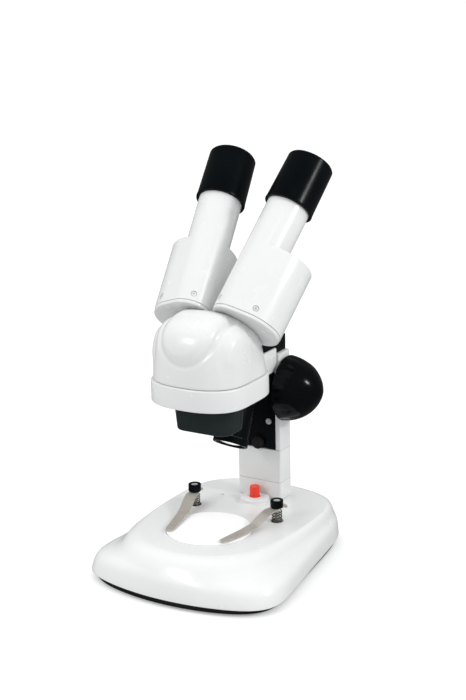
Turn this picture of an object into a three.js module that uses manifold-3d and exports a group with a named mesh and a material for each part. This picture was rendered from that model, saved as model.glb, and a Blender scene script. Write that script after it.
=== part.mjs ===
// A child's stereo microscope: moulded base with a round stage plate and two sprung clips, a square
// pillar with a rack-and-pinion focus carriage, and a rounded head that carries two prism housings
// with their inclined eyepiece tubes, the objective housing and a small lamp.
//
// Frame: millimetres, +Z up, table at Z = 0, origin under the middle of the bounding box.
// The front edge of the base is at -Y, the eyepieces lean back to +Y, over the pillar.
import * as THREE from "three";
import { mergeVertices } from "three/addons/utils/BufferGeometryUtils.js";
import Module from "manifold-3d";

const wasm = await Module();
wasm.setup();

// ---------------------------------------------------------------- driving dimensions
const FOOT_H = 1.2; // rubber feet stand this far below the plate
const PLATE_TOP = 4.6; // top of the black base plate
const SHELL_BOTTOM = 4.9; // lower edge of the white shell
const DECK_Z = 32.0; // flat top of the base
const BASE_FRONT = -89.1; // front edge of the base
const BASE_REAR = 89.1; // rear edge of the base
const BASE_W0 = 70.0; // half width of the base at the stage centre
const BASE_TAPER = 0.131; // half width lost per millimetre towards the rear
const BASE_BOW = 17.0; // the front edge bows out by this much at its middle
const WALL = 2.8; // shell wall

const SCREW_FRONT = -72.0; // base screws
const SCREW_REAR = 76.0;

const STAGE_Y = -24.7; // stage centre
const STAGE_R = 30.0; // 60 mm stage plate
const STAGE_Z = 33.0; // top of the stage plate
const STAGE_T = 4.2; // thickness of the stage plate

const CLIP_X = 34.0; // clip posts, either side of the middle
const CLIP_Y = STAGE_Y + 35.6;
const CLIP_POST_R = 1.6;
const CLIP_STRIP_Z = 41.2; // underside of the strip at its post
const CLIP_STRIP_T = 0.9;
const CLIP_KNOB_R = 4.6;
const CLIP_KNOB_TOP = 47.9;
const CLIP_TIP = [21.3, -20.0]; // tip of the clip, measured from the stage centre

const BUTTON_Y = STAGE_Y + 63.3;
const BUTTON_R = 3.65;
const BUTTON_TOP = 42.9;
const BOSS_R = 10.9; // round boss around the button
const BOSS_TOP = 35.0;

const COL_HW = 17.85; // pillar half width
const COL_FRONT = STAGE_Y + 70.6;
const COL_DEPTH = 15.6;
const COL_REAR = COL_FRONT + COL_DEPTH;
const SEAM_1 = 45.2; // foot block to middle block
const SEAM_2 = 70.0; // middle block to channel
const COL_TOP = 143.0;
const CHANNEL_WALL = 3.9;
const CHANNEL_BACK = 3.0;

const KNOB_Z = 116.2; // focus shaft
const KNOB_Y = STAGE_Y + 78.25;
const KNOB_R = 24.0;
const KNOB_IN = 18.7; // inboard face of the focus knob
const KNOB_OUT = 47.8; // tip of the focus knob
const SHAFT_R = 1.8;
const PINION_PITCH_R = 3.5;
const PINION_TEETH = 10;
const FOCUS_TRAVEL = 30.0;

const HEAD_HW = 35.5; // head ring half width
const HEAD_FRONT = STAGE_Y - 31.6; // side part of the ring's front; its middle bows further out
const HEAD_REAR = STAGE_Y + 39.4;
const HEAD_BOW = 6.8;
const RING_BOTTOM = 127.6;
const RING_TOP = 142.9;
const DOME_TOP = 187.6;

const TILT = 43.0; // eyepiece tubes lean back from vertical
const SPLAY = 6.4; // each tube leans outwards
const EYE_TOP = [31.5, STAGE_Y + 94.9, 276.5]; // centre of the top of the right eyepiece
const CAP_LEN = 38.5; // eyepiece hood
const CAP_R_TOP = 16.7;
const CAP_R_BOT = 17.6;
const TUBE_R = 15.2;
const TUBE_BORE = 12.9;
const DRUM_R = 23.3;
const DRUM_OFF = [8.24, 10.2]; // drum centre from the tube axis: outwards, and back-down
const PIVOT_OFF = [-3.5, 16.0]; // axis that each prism housing swings about, measured the same way
const DRUM_TOP = 73.7; // distances down the tube axis from the top of the eyepiece
const DRUM_BOTTOM = 125.0;
const COVER_BOTTOM = 127.5;

const HOUSING_BOTTOM = 105.0;
const LAMP_C = [0, STAGE_Y + 30.0, 85.0]; // centre of the lamp's lens rim
const LAMP_TILT = 30.5; // lamp axis from vertical, aimed at the stage centre
const LAMP_R = 12.6;

// ---------------------------------------------------------------- materials
const M = (color, roughness, metalness = 0, extra = {}) =>
  new THREE.MeshStandardMaterial({ color, roughness, metalness, ...extra });
const mats = {
  white: () => M(0xe9ebec, 0.22),
  whiteStage: () => M(0xf7f7f5, 0.35),
  blackGloss: () => M(0x0c0c0e, 0.14),
  blackSatin: () => M(0x141416, 0.38),
  blackMatte: () => M(0x1a1a1b, 0.65),
  rubber: () => M(0x18181a, 0.9),
  steel: () => M(0xa9a49a, 0.3, 1),
  springSteel: () => M(0xb8b8b6, 0.25, 1),
  brass: () => M(0xb89a55, 0.35, 1),
  red: () => M(0xd8140f, 0.25),
  glass: () => M(0xdfe9ee, 0.03, 0, { transparent: true, opacity: 0.35 }),
  grey: () => M(0x9b9da0, 0.5),
};

// ---------------------------------------------------------------- solid helpers
const toSolid = (geometry) => {
  const g = geometry.index ? geometry.toNonIndexed() : geometry.clone();
  g.deleteAttribute("normal");
  g.deleteAttribute("uv");
  const m = mergeVertices(g, 1e-3);
  return new wasm.Manifold(
    new wasm.Mesh({
      numProp: 3,
      vertProperties: new Float32Array(m.attributes.position.array),
      triVerts: new Uint32Array(m.index.array),
    }),
  );
};
const toGeometry = (solid) => {
  const mesh = solid.getMesh();
  const g = new THREE.BufferGeometry();
  const n = mesh.numProp;
  const pos = new Float32Array((mesh.vertProperties.length / n) * 3);
  for (let i = 0; i < pos.length / 3; i++)
    for (let k = 0; k < 3; k++) pos[3 * i + k] = mesh.vertProperties[n * i + k];
  g.setAttribute("position", new THREE.BufferAttribute(pos, 3));
  g.setIndex(new THREE.BufferAttribute(new Uint32Array(mesh.triVerts), 1));
  const flat = g.toNonIndexed();
  flat.computeVertexNormals();
  return flat;
};
const join = (...gs) =>
  toGeometry(gs.map(toSolid).reduce((a, b) => a.add(b)));
const cut = (g, ...tools) =>
  toGeometry(tools.map(toSolid).reduce((a, b) => a.subtract(b), toSolid(g)));
const common = (a, b) => toGeometry(toSolid(a).intersect(toSolid(b)));

// Box given by its low and high corners.
const box = (x0, y0, z0, x1, y1, z1) =>
  new THREE.BoxGeometry(x1 - x0, y1 - y0, z1 - z0).translate(
    (x0 + x1) / 2,
    (y0 + y1) / 2,
    (z0 + z1) / 2,
  );
// Upright cylinder or cone between two heights.
const rod = (x, y, z0, z1, r0, seg = 24, r1 = r0) =>
  new THREE.CylinderGeometry(r1, r0, z1 - z0, seg)
    .rotateX(Math.PI / 2)
    .translate(x, y, (z0 + z1) / 2);
// Rod along X.
const rodX = (x0, x1, y, z, r, seg = 24) =>
  new THREE.CylinderGeometry(r, r, x1 - x0, seg)
    .rotateZ(Math.PI / 2)
    .translate((x0 + x1) / 2, y, z);
// Rod along Y.
const rodY = (x, y0, y1, z, r, seg = 24) =>
  new THREE.CylinderGeometry(r, r, y1 - y0, seg).translate(x, (y0 + y1) / 2, z);
// Body of revolution about Z from [radius, z] points that start and end on the axis, or close on
// themselves. The points run so that the faces point outwards.
const turned = (points, seg = 24) =>
  new THREE.LatheGeometry(
    points.map(([r, z]) => new THREE.Vector2(r, z)),
    seg,
  ).rotateX(Math.PI / 2);
// Upright prism from a THREE.Shape, between two heights.
const prism = (shape, z0, z1, curveSegments = 6) =>
  new THREE.ExtrudeGeometry(shape, {
    depth: z1 - z0,
    bevelEnabled: false,
    curveSegments,
  }).translate(0, 0, z0);
const roundRect = (x0, y0, x1, y1, r) => {
  const s = new THREE.Shape();
  s.moveTo(x0 + r, y0);
  s.lineTo(x1 - r, y0);
  s.absarc(x1 - r, y0 + r, r, -Math.PI / 2, 0, false);
  s.lineTo(x1, y1 - r);
  s.absarc(x1 - r, y1 - r, r, 0, Math.PI / 2, false);
  s.lineTo(x0 + r, y1);
  s.absarc(x0 + r, y1 - r, r, Math.PI / 2, Math.PI, false);
  s.lineTo(x0, y0 + r);
  s.absarc(x0 + r, y0 + r, r, Math.PI, 1.5 * Math.PI, false);
  return s;
};
// Closed skin over a stack of loops with equal point counts, bottom loop first, loops
// counter-clockwise seen from above.
const loft = (loops) => {
  const n = loops[0].length;
  const pos = [];
  const push = (a, b, c) => pos.push(...a, ...b, ...c);
  for (let k = 0; k + 1 < loops.length; k++)
    for (let i = 0; i < n; i++) {
      const j = (i + 1) % n;
      push(loops[k][i], loops[k][j], loops[k + 1][j]);
      push(loops[k][i], loops[k + 1][j], loops[k + 1][i]);
    }
  const mean = (l) => [0, 1, 2].map((c) => l.reduce((s, p) => s + p[c], 0) / n);
  const cb = mean(loops[0]);
  const ct = mean(loops[loops.length - 1]);
  for (let i = 0; i < n; i++) {
    const j = (i + 1) % n;
    push(loops[0][j], loops[0][i], cb);
    push(loops[loops.length - 1][i], loops[loops.length - 1][j], ct);
  }
  const g = new THREE.BufferGeometry();
  g.setAttribute("position", new THREE.Float32BufferAttribute(pos, 3));
  g.computeVertexNormals();
  return g;
};

const root = new THREE.Group();
const add = (parent, name, geometry, material) => {
  const mesh = new THREE.Mesh(geometry, material);
  mesh.name = name;
  parent.add(mesh);
  return mesh;
};
const sides = [
  ["left", -1],
  ["right", 1],
];

// ---------------------------------------------------------------- base
const stand = new THREE.Group();
root.add(stand);

// Unit superellipse |c|^n + |v|^n = 1 as [c, v] pairs, counter-clockwise from its front middle (0, -1).
const unitOutline = (n, q = 24) => {
  const m = 0.5 ** (1 / n);
  const other = (t) => (1 - Math.abs(t) ** n) ** (1 / n);
  const out = [];
  for (let i = 0; i < q; i++) out.push([(m * i) / q, -other((m * i) / q)]);
  for (let i = 0; i < 2 * q; i++) out.push([other(-m + (m * i) / q), -m + (m * i) / q]);
  for (let i = 0; i < 2 * q; i++) out.push([m - (m * i) / q, other(m - (m * i) / q)]);
  for (let i = 0; i < 2 * q; i++) out.push([-other(m - (m * i) / q), m - (m * i) / q]);
  for (let i = 0; i < q; i++) out.push([-m + (m * i) / q, -other(-m + (m * i) / q)]);
  return out;
};
// The given number of points round a closed outline from its first point, closer together where it
// turns: corner is the extra length that a turn of one radian counts for.
const spread = (points, count, corner) => {
  const n = points.length;
  const acc = [0];
  for (let i = 0; i < n; i++) {
    const o = points[(i + n - 1) % n];
    const p = points[i];
    const q = points[(i + 1) % n];
    const d = Math.hypot(q[0] - p[0], q[1] - p[1]);
    let turn = Math.atan2(q[1] - p[1], q[0] - p[0]) - Math.atan2(p[1] - o[1], p[0] - o[0]);
    turn = Math.abs(Math.atan2(Math.sin(turn), Math.cos(turn)));
    acc.push(acc[i] + d + corner * turn);
  }
  const out = [];
  let k = 0;
  for (let i = 0; i < count; i++) {
    const s = (acc[n] * i) / count;
    while (acc[k + 1] <= s) k++;
    const t = (s - acc[k]) / (acc[k + 1] - acc[k]);
    const p = points[k];
    const q = points[(k + 1) % n];
    out.push([p[0] + (q[0] - p[0]) * t, p[1] + (q[1] - p[1]) * t, p[2]]);
  }
  return out;
};
// Outline of the base at one height: dw narrows the sides, almost only towards the front, front and
// rear are the ends of the outline, n squares the corners.
const baseLoop = (z, dw, front, rear, n, count = 44) =>
  spread(
    unitOutline(n).map(([c, v]) => {
      const y = (front + rear) / 2 + ((rear - front) / 2) * v;
      const s = (y - BASE_FRONT) / (BASE_REAR - BASE_FRONT);
      const w = BASE_W0 - BASE_TAPER * (y - STAGE_Y) - dw * (0.92 * (1 - s) ** 2 + 0.08);
      return [w * c, y - (v < 0 ? 1 : 0.7) * BASE_BOW * c * c * v, z];
    }),
    count,
    60,
  );
const F = BASE_FRONT;
const R = BASE_REAR;
const baseLevels = [
  [SHELL_BOTTOM, 0, F, R, 7.9],
  [9, 0.6, F + 0.7, R - 0.3, 7.8],
  [13.5, 2.0, F + 1.9, R - 0.9, 7.6],
  [16.6, 4.8, F + 3.0, R - 1.5, 7.3],
  [19.2, 11.0, F + 4.2, R - 2.1, 7.0],
  [21.3, 18.0, F + 5.3, R - 2.8, 6.8],
  [24, 23.0, F + 6.9, R - 3.8, 6.6],
  [27, 25.8, F + 9.2, R - 5.2, 6.4],
  [29.4, 28.6, F + 11.8, R - 7.2, 6.3],
  [31.2, 33.0, F + 15.5, R - 10.5, 6.1],
  [DECK_Z, 40.0, F + 20.5, R - 15.0, 6.0],
];
const baseOuter = loft(baseLevels.map((l) => baseLoop(...l)));
const inner = (z, dw, front, rear, n) =>
  baseLoop(z, dw, front + WALL, rear - WALL, n, 20).map(([x, y, h]) => [x * (1 - WALL / 66), y, h]);
const baseCavity = cut(
  loft([
    inner(SHELL_BOTTOM - 1, 0.3, F, R, 6.2),
    inner(12.5, 4.0, F + 1.9, R - 1.2, 5.9),
    inner(17.5, 15.0, F + 4.2, R - 2.6, 5.5),
    inner(22, 24.5, F + 7.4, R - 4.4, 5.2),
    inner(26.4, 29.5, F + 12.0, R - 7.6, 5.0),
    inner(29.2, 40.0, F + 19.0, R - 13.5, 4.8),
  ]),
  rod(0, STAGE_Y, STAGE_Z - STAGE_T - 2.6, 45, STAGE_R + 2.5, 22), // floor of the stage pocket
  rod(CLIP_X, CLIP_Y, 22, 45, 4.2, 8), // clip post bosses
  rod(-CLIP_X, CLIP_Y, 22, 45, 4.2, 8),
  rod(0, SCREW_FRONT, 2, 45, 4.4, 8), // boss for the front base screw
  rod(0, SCREW_REAR, 2, 45, 4.4, 8), // boss for the rear base screw
);
const deckBoss = cut(
  turned(
    [
      [0, 30],
      [BOSS_R + 0.6, 30],
      [BOSS_R + 0.3, DECK_Z + 0.6],
      [BOSS_R - 0.7, BOSS_TOP],
      [0, BOSS_TOP],
    ],
    28,
  ).translate(0, BUTTON_Y, 0),
  box(-30, COL_FRONT - 0.3, 20, 30, COL_REAR + 10, 60),
);
const shell = cut(
  join(cut(baseOuter, baseCavity), deckBoss),
  rod(0, STAGE_Y, STAGE_Z - STAGE_T - 0.3, 60, STAGE_R + 0.3, 36), // stage pocket
  rod(0, STAGE_Y, 20, 60, 4.0, 8), // push-out hole under the stage plate
  rod(CLIP_X, CLIP_Y, 24, 60, CLIP_POST_R + 0.1, 10),
  rod(-CLIP_X, CLIP_Y, 24, 60, CLIP_POST_R + 0.1, 10),
  rod(0, BUTTON_Y, 20, 60, BUTTON_R + 0.4, 16), // button hole
  rod(11, (COL_FRONT + COL_REAR) / 2, 20, 60, 2.3, 8), // pillar bolt holes
  rod(-11, (COL_FRONT + COL_REAR) / 2, 20, 60, 2.3, 8),
  rod(0, (COL_FRONT + COL_REAR) / 2, 20, 60, 3.4, 8), // wire hole under the pillar
  rod(0, SCREW_FRONT, 0, 16, 1.5, 8),
  rod(0, SCREW_REAR, 0, 16, 1.5, 8),
  rod(26.7, STAGE_Y + 61.8, 30.6, 60, 2.0, 8), // shallow key holes in the deck
  rod(-26.7, STAGE_Y + 61.8, 30.6, 60, 2.0, 8),
);
add(stand, "base_shell", shell, mats.white());

// Battery opening in the plate, under the stage.
const BAT = { x0: -30, x1: 30, y0: STAGE_Y - 25, y1: STAGE_Y + 25 };
const plateLoop = (z) => baseLoop(z, 2.5, F + 0.5, R - 2.0, 7.2, 36).map(([x, y, h]) => [0.98 * x, y, h]);
add(
  stand,
  "base_plate",
  cut(
    loft([plateLoop(FOOT_H), plateLoop(PLATE_TOP)]),
    box(BAT.x0, BAT.y0, 0, BAT.x1, BAT.y1, 10),
    rod(0, SCREW_FRONT, 0, 10, 1.9, 8),
    rod(0, SCREW_REAR, 0, 10, 1.9, 8),
    rod(0, SCREW_FRONT, 0, 3.0, 3.6, 12),
    rod(0, SCREW_REAR, 0, 3.0, 3.6, 12),
  ),
  mats.blackMatte(),
);
for (const [name, y] of [
  ["base_screw_front", SCREW_FRONT],
  ["base_screw_rear", SCREW_REAR],
]) {
  const screw = new THREE.Group();
  screw.position.set(0, y, 0);
  stand.add(screw);
  add(
    screw,
    name,
    turned(
      [
        [0, 1.5],
        [2.6, 1.5],
        [3.2, 2.0],
        [3.2, 2.9],
        [1.3, 2.9],
        [1.3, 14.6],
        [0, 15.4],
      ],
      10,
    ),
    mats.steel(),
  );
}
for (const [fx, sx] of [
  ["left", -1],
  ["right", 1],
])
  for (const [fy, x, y] of [
    ["front", 54, -60],
    ["rear", 42, 66],
  ]) {
    const foot = add(
      stand,
      `foot_${fy}_${fx}`,
      turned(
        [
          [0, 0],
          [6.2, 0],
          [6.8, 0.5],
          [6.8, FOOT_H - 0.05],
          [0, FOOT_H - 0.05],
        ],
        14,
      ),
      mats.rubber(),
    );
    foot.position.set(sx * x, y, 0);
  }

// Battery box: a tray open below, closed by the door in the plate.
add(
  stand,
  "battery_box",
  cut(
    box(BAT.x0 + 0.4, BAT.y0 + 0.4, 3.4, BAT.x1 - 0.4, BAT.y1 - 0.4, 21.4),
    box(BAT.x0 + 2.2, BAT.y0 + 2.0, 0, BAT.x1 - 2.2, BAT.y1 - 2.0, 19.6),
  ),
  mats.blackMatte(),
);
add(
  stand,
  "battery_door",
  join(
    box(BAT.x0 + 0.4, BAT.y0 + 0.4, FOOT_H + 0.2, BAT.x1 - 0.4, BAT.y1 - 0.4, 3.1),
    box(-7, BAT.y1 - 3.6, 3.0, 7, BAT.y1 - 2.4, 8),
  ),
  mats.blackMatte(),
);

// Stage plate: plain white disc with a softened edge.
const stage = add(
  stand,
  "stage_plate",
  turned(
    [
      [0, -STAGE_T],
      [STAGE_R - 0.4, -STAGE_T],
      [STAGE_R, -STAGE_T + 0.4],
      [STAGE_R, -0.4],
      [STAGE_R - 0.4, 0],
      [0, 0],
    ],
    36,
  ),
  mats.whiteStage(),
);
stage.position.set(0, STAGE_Y, STAGE_Z);

// ---------------------------------------------------------------- lamp button and switch
const button = add(
  stand,
  "power_button",
  turned(
    [
      [0, 21.0],
      [1.6, 21.0],
      [1.6, 31.6],
      [BUTTON_R, 31.6],
      [BUTTON_R, BUTTON_TOP - 1.0],
      [BUTTON_R - 0.35, BUTTON_TOP - 0.3],
      [BUTTON_R - 1.1, BUTTON_TOP],
      [0, BUTTON_TOP],
    ],
    16,
  ),
  mats.red(),
);
button.position.set(0, BUTTON_Y, 0);
const switchBody = add(
  stand,
  "switch_body",
  cut(
    join(box(-6.5, -6.5, 14.6, 6.5, 6.5, 24.5), rod(0, 0, 24.0, 28.9, 5.0, 12)),
    rod(0, 0, 18.5, 50, 2.0, 8),
  ),
  mats.blackMatte(),
);
switchBody.position.set(0, BUTTON_Y, 0);

// ---------------------------------------------------------------- stage clips
const dx = CLIP_TIP[0] - CLIP_X;
const dy = STAGE_Y + CLIP_TIP[1] - CLIP_Y;
const CLIP_LEN = Math.hypot(dx, dy);
const CLIP_ANGLE = Math.atan2(dy, dx); // strip direction from the right post to its tip
// Side profile of the strip: [distance from the post, height of its underside].
const stripLine = [
  [-8.4, CLIP_STRIP_Z],
  [7.0, CLIP_STRIP_Z],
  [11.5, 40.4],
  [24.0, 34.9],
  [32.0, 34.2],
  [CLIP_LEN - 4.5, 33.45],
  [CLIP_LEN - 1.6, 33.4],
  [CLIP_LEN, 34.1],
];
const stripWidth = [3.4, 4.3, 4.3, 4.2, 3.8, 3.2, 2.8, 2.0];
const strip = () => {
  const loops = stripLine.map(([s, z], i) => {
    const w = stripWidth[i];
    const h = z + CLIP_STRIP_T;
    return [
      [s, -w, z],
      [s, w, z],
      [s, w, h],
      [s, -w, h],
    ];
  });
  return cut(loft(loops), rod(0, 0, 37, 45, CLIP_POST_R + 0.75, 12));
};
const springCurve = () => {
  const points = [];
  const turns = 4;
  const n = turns * 8;
  for (let i = 0; i <= n; i++) {
    const a = (i / 8) * 2 * Math.PI;
    points.push(
      new THREE.Vector3(
        3.3 * Math.cos(a),
        3.3 * Math.sin(a),
        DECK_Z + 0.95 + ((CLIP_STRIP_Z - DECK_Z - 1.9) * i) / n,
      ),
    );
  }
  return new THREE.CatmullRomCurve3(points);
};
const springSection = () => {
  const s = new THREE.Shape();
  for (let i = 0; i < 5; i++) {
    const a = (i / 5) * 2 * Math.PI;
    const f = i ? "lineTo" : "moveTo";
    s[f](0.6 * Math.cos(a), 0.6 * Math.sin(a));
  }
  return s;
};
for (const [side, sx] of sides) {
  const clip = new THREE.Group();
  clip.position.set(sx * CLIP_X, CLIP_Y, 0);
  stand.add(clip);
  add(
    clip,
    `clip_post_${side}`,
    turned(
      [
        [0, 24.3],
        [CLIP_POST_R, 24.3],
        [CLIP_POST_R, 44.6],
        [0, 44.6],
      ],
      10,
    ),
    mats.steel(),
  );
  add(
    clip,
    `clip_spring_${side}`,
    new THREE.ExtrudeGeometry(springSection(), {
      steps: 30,
      bevelEnabled: false,
      extrudePath: springCurve(),
    }),
    mats.springSteel(),
  );
  const arm = new THREE.Group();
  arm.rotation.z = sx > 0 ? CLIP_ANGLE : Math.PI - CLIP_ANGLE;
  clip.add(arm);
  add(arm, `stage_clip_${side}`, strip(), mats.steel());
  add(
    clip,
    `clip_knob_${side}`,
    turned(
      [
        [0, 44.9],
        [CLIP_POST_R + 0.3, 44.9],
        [CLIP_POST_R + 0.3, CLIP_STRIP_Z + CLIP_STRIP_T + 0.3],
        [CLIP_KNOB_R - 0.3, CLIP_STRIP_Z + CLIP_STRIP_T + 0.3],
        [CLIP_KNOB_R, CLIP_STRIP_Z + CLIP_STRIP_T + 0.7],
        [CLIP_KNOB_R, CLIP_KNOB_TOP - 0.7],
        [CLIP_KNOB_R - 0.6, CLIP_KNOB_TOP],
        [0, CLIP_KNOB_TOP],
      ],
      18,
    ),
    mats.blackSatin(),
  );
}

// ---------------------------------------------------------------- pillar
const CY = (COL_FRONT + COL_REAR) / 2;
const colShape = () => roundRect(-COL_HW, COL_FRONT, COL_HW, COL_REAR, 1.4);
add(
  stand,
  "pillar_foot",
  cut(
    prism(colShape(), DECK_Z + 0.1, SEAM_1 - 0.15, 3),
    rod(11, CY, 20, 50, 2.3, 10),
    rod(-11, CY, 20, 50, 2.3, 10),
    rod(0, CY, 20, 50, 3.4, 10),
  ),
  mats.white(),
);
add(
  stand,
  "pillar_block",
  cut(
    join(
      prism(colShape(), SEAM_1 + 0.15, SEAM_2 - 0.15, 3),
      box(-12.5, CY - 0.3, 61, 12.5, COL_REAR - CHANNEL_BACK - 0.3, 84),
    ),
    rod(11, CY, 40, 67, 2.3, 10),
    rod(-11, CY, 40, 67, 2.3, 10),
    rod(0, CY, 40, 90, 3.4, 10), // wire way up into the channel
    rodY(7.5, CY - 1, 70, 77, 1.35, 10),
    rodY(-7.5, CY - 1, 70, 77, 1.35, 10),
  ),
  mats.white(),
);
add(
  stand,
  "pillar_channel",
  cut(
    prism(colShape(), SEAM_2 + 0.15, COL_TOP, 3),
    box(
      -COL_HW + CHANNEL_WALL,
      COL_FRONT - 5,
      61,
      COL_HW - CHANNEL_WALL,
      COL_REAR - CHANNEL_BACK,
      151,
    ),
    rodX(-25, 25, KNOB_Y, KNOB_Z, 3.5, 16),
    rodY(7.5, CY, 70, 77, 1.7, 10),
    rodY(-7.5, CY, 70, 77, 1.7, 10),
  ),
  mats.white(),
);
for (const [side, sx] of sides) {
  const bolt = add(
    stand,
    `pillar_bolt_${side}`,
    turned(
      [
        [0, 25.1],
        [3.2, 25.1],
        [3.8, 25.9],
        [3.8, 28.9],
        [2.0, 28.9],
        [2.0, 65.8],
        [0, 66.6],
      ],
      8,
    ),
    mats.steel(),
  );
  bolt.position.set(sx * 11, CY, 0);
  const screw = add(
    stand,
    `channel_screw_${side}`,
    turned(
      [
        [0, -8.6],
        [1.1, -8.0],
        [1.1, 0.3],
        [2.9, 0.3],
        [2.9, 1.1],
        [2.2, 1.9],
        [0, 2.0],
      ],
      10,
    ).rotateX(-Math.PI / 2),
    mats.steel(),
  );
  screw.position.set(sx * 7.5, COL_REAR, 77);
}

// ---------------------------------------------------------------- focus drive
const drive = new THREE.Group();
drive.position.set(0, KNOB_Y, KNOB_Z);
root.add(drive);
add(drive, "focus_shaft", rodX(-34, 34, 0, 0, SHAFT_R, 14), mats.steel());
const gearShape = () => {
  const s = new THREE.Shape();
  const step = (2 * Math.PI) / PINION_TEETH;
  const at = (r, a) => [r * Math.cos(a), r * Math.sin(a)];
  let first = true;
  for (let i = 0; i < PINION_TEETH; i++) {
    // one tooth points straight forward, into a gap of the rack
    const a = Math.PI + i * step;
    for (const [r, d] of [
      [2.75, -0.34],
      [4.15, -0.1],
      [4.15, 0.1],
      [2.75, 0.34],
    ]) {
      s[first ? "moveTo" : "lineTo"](...at(r, a + d * step));
      first = false;
    }
  }
  s.holes.push(new THREE.Path().absarc(0, 0, SHAFT_R + 0.3, 0, 2 * Math.PI));
  return s;
};
// Shapes drawn in the YZ plane are extruded along X: this turns (x, y, z) into (z, x, y).
const alongX = (g) => g.rotateX(Math.PI / 2).rotateZ(Math.PI / 2);
add(drive, "focus_pinion", alongX(prism(gearShape(), -4.5, 4.5, 5)), mats.brass());
const knobProfile = () => {
  const pts = [[SHAFT_R + 0.3, 33.0 + 1.3], [SHAFT_R + 0.3, KNOB_IN], [KNOB_R * 0.62, KNOB_IN], [KNOB_R * 0.66, KNOB_IN + 0.6]];
  const x0 = 11.2;
  const len = KNOB_OUT - x0;
  for (const x of [20.3, 25, 30, 34.5, 38.5, 42, 44.8, 46.6]) {
    const t = (x - x0) / len;
    pts.push([KNOB_R * (1 - t ** 2.9) ** (1 / 1.4), x]);
  }
  pts[4][0] = KNOB_R * 0.95;
  pts.push([0, KNOB_OUT]);
  pts.unshift([0, 33.0 + 1.3]);
  return pts;
};
for (const [side, sx] of sides)
  add(
    drive,
    `focus_knob_${side}`,
    turned(knobProfile(), 26).rotateY((sx * Math.PI) / 2),
    mats.blackGloss(),
  );
for (const [side, sx] of sides) {
  const bush = add(
    stand,
    `shaft_bush_${side}`,
    turned(
      [
        [SHAFT_R + 0.08, 14.1],
        [3.2, 14.1],
        [3.2, COL_HW + 0.1],
        [4.6, COL_HW + 0.1],
        [4.6, COL_HW + 0.55],
        [SHAFT_R + 0.08, COL_HW + 0.55],
        [SHAFT_R + 0.08, 14.1],
      ],
      14,
    ).rotateY((sx * Math.PI) / 2),
    mats.brass(),
  );
  bush.position.set(0, KNOB_Y, KNOB_Z);
}

// ---------------------------------------------------------------- focus carriage
const head = new THREE.Group();
root.add(head);
const SLIDE_HW = COL_HW - CHANNEL_WALL - 0.4;
const RACK_ROOT = KNOB_Y - 4.45; // floor of the rack's gaps
const RACK_TIP = KNOB_Y - 2.95; // tops of the rack's teeth
const SLIDE_BACK = RACK_ROOT - 1.5;
const TOOTH_PITCH = (2 * Math.PI * PINION_PITCH_R) / PINION_TEETH;
const ARM_BOTTOM = COL_TOP + 0.5;
const ARM_TOP = 154.2;
const ARM_HW = 15.2; // half width of the arm
const BOSS_Z = 147.5; // top of the ring's rear boss, just under the arm
add(
  head,
  "focus_carriage",
  cut(
    join(
      box(-SLIDE_HW, COL_FRONT + 0.3, SEAM_2 + 0.6, SLIDE_HW, SLIDE_BACK, ARM_BOTTOM + 1),
      box(-4.6, SLIDE_BACK - 1, SEAM_2 + 2, 4.6, RACK_ROOT - 1.4, ARM_BOTTOM + 1),
      box(-SLIDE_HW, COL_FRONT + 1, SEAM_2 + 0.6, -9, KNOB_Y - 2.5, ARM_BOTTOM + 1),
      box(9, COL_FRONT + 1, SEAM_2 + 0.6, SLIDE_HW, KNOB_Y - 2.5, ARM_BOTTOM + 1),
      prism(
        roundRect(-ARM_HW, HEAD_REAR + 0.6, ARM_HW, COL_REAR - 0.2, 2.2),
        ARM_BOTTOM,
        ARM_TOP,
        3,
      ),
      box(-11, HEAD_REAR - 14, ARM_BOTTOM + 1.2, 11, HEAD_REAR + 2, ARM_TOP - 2.2),
      box(-6, STAGE_Y + 56.6, 108.5, 6, COL_FRONT + 1, 120.5), // lamp bracket
    ),
    box(-20, HEAD_REAR + 0.1, ARM_BOTTOM - 2, 20, COL_FRONT - 0.35, BOSS_Z + 0.4),
    rod(0, HEAD_REAR - 8.5, 131, 161, 1.9, 12),
    rodY(8.5, COL_FRONT - 2, COL_FRONT + 3, 91.5, 1.5, 10),
    rodY(-8.5, COL_FRONT - 2, COL_FRONT + 3, 91.5, 1.5, 10),
    rodY(0, COL_FRONT - 2, COL_FRONT + 3, 74.4, 1.8, 10),
  ),
  mats.blackSatin(),
);
const rackShape = () => {
  const s = new THREE.Shape();
  const z0 = SEAM_2 + 2.6;
  const z1 = ARM_BOTTOM - 1;
  s.moveTo(RACK_ROOT - 1.1, z0);
  s.lineTo(RACK_ROOT, z0);
  // gaps are centred on the shaft's height, one pitch apart
  const lo = Math.ceil((z0 + 1.2 - KNOB_Z) / TOOTH_PITCH - 0.5);
  const hi = Math.floor((KNOB_Z + 6 - KNOB_Z) / TOOTH_PITCH);
  for (let i = lo; i <= hi; i++) {
    const z = KNOB_Z + (i + 0.5) * TOOTH_PITCH; // middle of a tooth
    s.lineTo(RACK_ROOT, z - 0.33 * TOOTH_PITCH);
    s.lineTo(RACK_TIP, z - 0.09 * TOOTH_PITCH);
    s.lineTo(RACK_TIP, z + 0.09 * TOOTH_PITCH);
    s.lineTo(RACK_ROOT, z + 0.33 * TOOTH_PITCH);
  }
  s.lineTo(RACK_ROOT, z1);
  s.lineTo(RACK_ROOT - 1.1, z1);
  return s;
};
add(
  head,
  "focus_rack",
  alongX(prism(rackShape(), -4, 4)),
  mats.brass(),
);
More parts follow.
